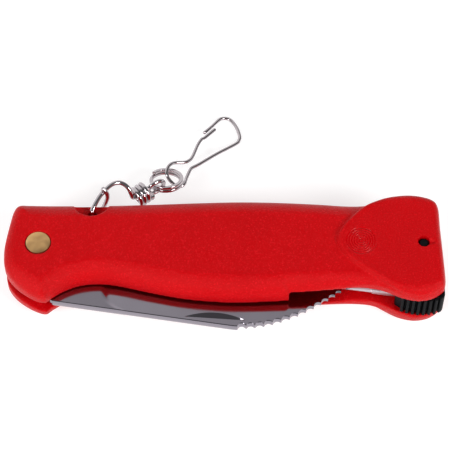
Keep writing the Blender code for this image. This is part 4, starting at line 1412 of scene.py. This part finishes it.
@dataclass
class LanyardChain:
    """Wire bail with its wound coil, split ring and snap hook, laid out behind the back."""

    bail_wire: float = 0.6
    bail_leg: Ring = (
        (27.0, 20.3, 0.75), (25.6, 19.15, 0.75), (24.2, 18.05, 0.75), (23.1, 17.2, 1.2),
        (22.7, 17.3, 2.8), (22.1, 18.1, 4.1), (21.0, 18.9, 4.8), (19.6, 19.2, 5.2),
        (17.7, 18.2, 5.7),
        (15.4, 15.3, 6.1), (14.0, 12.7, 6.0), (13.2, 10.9, 5.5), (13.1, 10.2, 4.6),
    )
    bail_loop: Ring = (
        (13.1, 10.3, -4.6), (13.3, 12.2, -6.1), (14.2, 14.4, -4.6), (15.4, 15.3, -1.0),
        (16.3, 15.2, 2.2), (16.8, 15.2, 4.8), (16.5, 15.5, 6.7), (15.7, 15.9, 7.6),
    )
    bail_tail: Ring = ((24.9, 18.6, -0.75), (26.1, 19.5, -0.75), (26.95, 20.2, -1.25))
    eye_centre: tuple[float, float, float] = (28.9, 21.5, -0.75)
    eye_radius: float = 2.3
    wrap_ends: Ring = ((23.9, 17.8, 0.0), (26.75, 20.05, 0.0))
    wrap_radius: float = 2.35
    wrap_wire: float = 0.57
    wrap_turns: float = 3.0
    ring_centre: tuple[float, float, float] = (31.55, 24.4, -2.1)
    ring_radius: float = 3.95
    ring_tilt: float = math.radians(-25.0)
    ring_turns: float = 1.85
    ring_pitch: float = 0.92
    hook_wire: float = 0.475
    hook_route: Ring = (
        (41.3, 41.9, -6.2), (43.2, 44.3, -7.0), (45.3, 47.2, -7.9), (46.5, 47.9, -8.3),
        (48.0, 47.7, -8.4), (49.2, 46.4, -8.4), (50.2, 44.4, -8.4), (50.8, 42.1, -8.4),
        (50.6, 40.9, -8.3), (49.7, 39.5, -8.0), (44.7, 35.5, -6.6), (40.0, 31.4, -5.3),
        (38.1, 29.9, -4.8), (37.5, 28.7, -4.5), (36.7, 26.2, -4.0), (36.2, 24.3, -3.6),
        (35.2, 23.4, -3.5), (33.8, 23.7, -3.3), (32.3, 25.0, -2.8), (31.6, 26.4, -2.0),
        (31.8, 28.0, -1.8), (32.6, 29.3, -2.0), (33.8, 30.3, -2.8), (36.0, 30.9, -3.6),
        (37.2, 31.7, -4.1), (38.2, 33.3, -4.7), (39.6, 37.6, -5.5), (40.6, 39.6, -5.9),
        (41.5, 40.4, -6.2), (44.1, 43.2, -6.6),
    )

    def bail(self) -> bpy.types.Object:
        """One wire: tail in the coil, eye, near leg, lanyard hole and a loop round the bar.

        The eye is part of a circle that stands upright in line with the coil.

        Returns:
            The bail.
        """
        leg = np.array(self.bail_leg)
        centre = np.array(self.eye_centre)
        toward = leg[0] - centre
        toward[2] = 0.0
        toward /= np.linalg.norm(toward)
        turn = np.radians(np.linspace(-130.0, 160.0, 13))[:, None]
        eye = (centre - toward * self.eye_radius * np.cos(turn)
               + np.array([0.0, 0.0, self.eye_radius]) * np.sin(turn))
        through = np.array([[*LANYARD, 0.0]])
        route = catmull_rom(np.vstack([self.bail_tail, eye, leg, through, self.bail_loop]), 8)
        return swept("bail_wire", route, round_profile(self.bail_wire, 18))

    def wrap(self) -> bpy.types.Object:
        """Helix wound about the line between the wrap's two ends.

        Returns:
            The coil.
        """
        start, end = (np.array(spot) for spot in self.wrap_ends)
        along = (end - start) / np.linalg.norm(end - start)
        side = np.cross(along, [0.0, 0.0, 1.0])
        up = np.cross(side, along)
        share = np.linspace(0.0, 1.0, int(self.wrap_turns * 40) + 1)[:, None]
        turn = 2 * math.pi * self.wrap_turns * share
        route = start + (end - start) * share + self.wrap_radius * (
            side * np.cos(turn) + up * np.sin(turn))
        return swept("wound_wire", route, round_profile(self.wrap_wire, 18))

    def ring(self) -> bpy.types.Object:
        """Split ring: a flat-wire helix of nearly two turns, tilted towards the table.

        Returns:
            The ring.
        """
        share = np.linspace(0.0, 1.0, int(self.ring_turns * 90) + 1)
        turn = 2 * math.pi * (share * self.ring_turns + 0.56)
        rise = self.ring_pitch * (share - 0.5) * self.ring_turns
        c, s = math.cos(self.ring_tilt), math.sin(self.ring_tilt)
        x, y = self.ring_radius * np.cos(turn), self.ring_radius * np.sin(turn)
        route = np.array(self.ring_centre) + np.stack([x, c * y - s * rise, s * y + c * rise], 1)
        return swept("split_ring_wire", route, flat_profile(0.52, 0.42), (0.0, -s, c), 0.25)

    def hook(self) -> bpy.types.Object:
        """Snap hook bent from one wire, from the hook's nose round to the spring arm's end.

        Returns:
            The hook.
        """
        route = catmull_rom(np.array(self.hook_route), 10)
        return swept("snap_hook_wire", route, round_profile(self.hook_wire, 16))

    def build(self) -> None:
        """Make the four links and dress them."""
        nickel = NICKEL_WIRE.build()
        dress(self.bail(), nickel, "bail", "nickel_wire", "lanyard_bail")
        dress(self.wrap(), nickel, "bail", "nickel_wire", "bail_wrap")
        dress(self.ring(), nickel, "ring", "nickel_wire", "split_ring")
        dress(self.hook(), nickel, "hook", "nickel_wire", "snap_hook")


# -------------------------------------------------------------------- studio


@dataclass
class Studio:
    """Pale table, two soft lights, a pale surround and the camera above the slot side."""

    aim: tuple[float, float, float] = (46.72, 9.80, 0.0)
    elevation: float = math.radians(59.5)
    distance: float = 500.0
    lens: float = 156.3474
    dim: float = 0.14
    pale: float = 0.95
    softbox_size: float = 0.35
    softbox_power: float = 5.3
    softboxes: tuple[tuple[str, tuple[float, float, float]], ...] = (
        ("left_softbox", (-0.50, -0.50, 0.50)), ("right_softbox", (0.60, -0.40, 0.50)))

    def camera(self) -> None:
        """Put the camera at its distance and elevation, looking along +Y."""
        data = bpy.data.cameras.new("camera")
        data.sensor_width = 36.0
        data.lens = self.lens
        data.clip_start = 0.01
        made = bpy.data.objects.new("camera", data)
        back = np.array([0.0, -math.cos(self.elevation), math.sin(self.elevation)])
        made.location = in_frame(np.array(self.aim) + back * self.distance)
        made.rotation_euler = (math.pi / 2 - self.elevation, 0.0, 0.0)
        bpy.context.scene.collection.objects.link(made)
        bpy.context.scene.camera = made

    def table(self) -> None:
        """A plain pale sheet under the knife, at the height that it rests on."""
        mesh = bpy.data.meshes.new("table")
        size = 2.0
        mesh.from_pydata([(-size, -size, 0.0), (size, -size, 0.0), (size, size, 0.0),
                          (-size, size, 0.0)], [], [(0, 1, 2, 3)])
        table = bpy.data.objects.new("table", mesh)
        bpy.context.scene.collection.objects.link(table)
        material, shader = new_material("pale_table")
        shader.inputs["Base Color"].default_value = (0.48, 0.48, 0.48, 1.0)
        shader.inputs["Roughness"].default_value = 0.9
        shader.inputs["Specular IOR Level"].default_value = 0.1
        shader.inputs["Emission Color"].default_value = (1.0, 1.0, 1.0, 1.0)
        shader.inputs["Emission Strength"].default_value = 0.64
        mesh.materials.append(material)

    def light(self, name: str, place: tuple[float, float, float]) -> None:
        """One square soft light aimed at the knife.

        Args:
            name: Its name.
            place: Where it hangs, in metres.
        """
        data = bpy.data.lights.new(name, "AREA")
        data.shape = "SQUARE"
        data.size = self.softbox_size
        data.energy = self.softbox_power
        made = bpy.data.objects.new(name, data)
        made.location = place
        aim = in_frame(np.array(self.aim))
        down = (np.array(place) - aim) / np.linalg.norm(np.array(place) - aim)
        yaw = math.atan2(down[1], down[0])
        made.rotation_euler = (0.0, math.acos(down[2]), yaw)
        bpy.context.scene.collection.objects.link(made)

    def build(self) -> None:
        """Set the camera, the table, the lights and the surround."""
        self.camera()
        self.table()
        for name, place in self.softboxes:
            self.light(name, place)
        self.surround()
        bpy.context.scene.view_settings.view_transform = "Standard"

    def surround(self) -> None:
        """A room that is dim in front of the knife and pale behind it and to its left."""
        world = bpy.data.worlds.new("surround")
        world.use_nodes = True
        nodes, links = world.node_tree.nodes, world.node_tree.links
        toward = nodes.new("ShaderNodeTexCoord")
        toward.label = "direction in the room"
        behind = nodes.new("ShaderNodeVectorMath")
        behind.label = "how far behind the knife and to its left"
        behind.operation = "DOT_PRODUCT"
        behind.inputs[1].default_value = (-0.55, 0.94, 0.0)
        shade = nodes.new("ShaderNodeMapRange")
        shade.label = "dim in front, paler behind"
        shade.inputs["From Min"].default_value = 0.30
        shade.inputs["From Max"].default_value = 0.60
        shade.inputs["To Min"].default_value = self.dim
        shade.inputs["To Max"].default_value = self.pale
        walls = nodes["Background"]
        walls.label = "walls of the room"
        walls.location = (600, 0)
        walls.inputs["Color"].default_value = (1.0, 1.0, 1.0, 1.0)
        nodes["World Output"].location = (900, 0)
        links.new(toward.outputs["Generated"], behind.inputs[0])
        links.new(behind.outputs["Value"], shade.inputs["Value"])
        links.new(shade.outputs["Result"], walls.inputs["Strength"])
        lay_out(world.node_tree, "light of the room", 0, (toward, behind, shade))
        bpy.context.scene.world = world


def main() -> None:
    """Build the studio and every sub-assembly in order."""
    logging.basicConfig(level=logging.INFO, format="%(name)s %(message)s")
    Studio().build()
    HandleShells().build()
    Blade().build()
    Pivot().build()
    SpikeAndHub().build()
    BackSpring().build()
    LanyardChain().build()


if __name__ == "__main__":
    main()
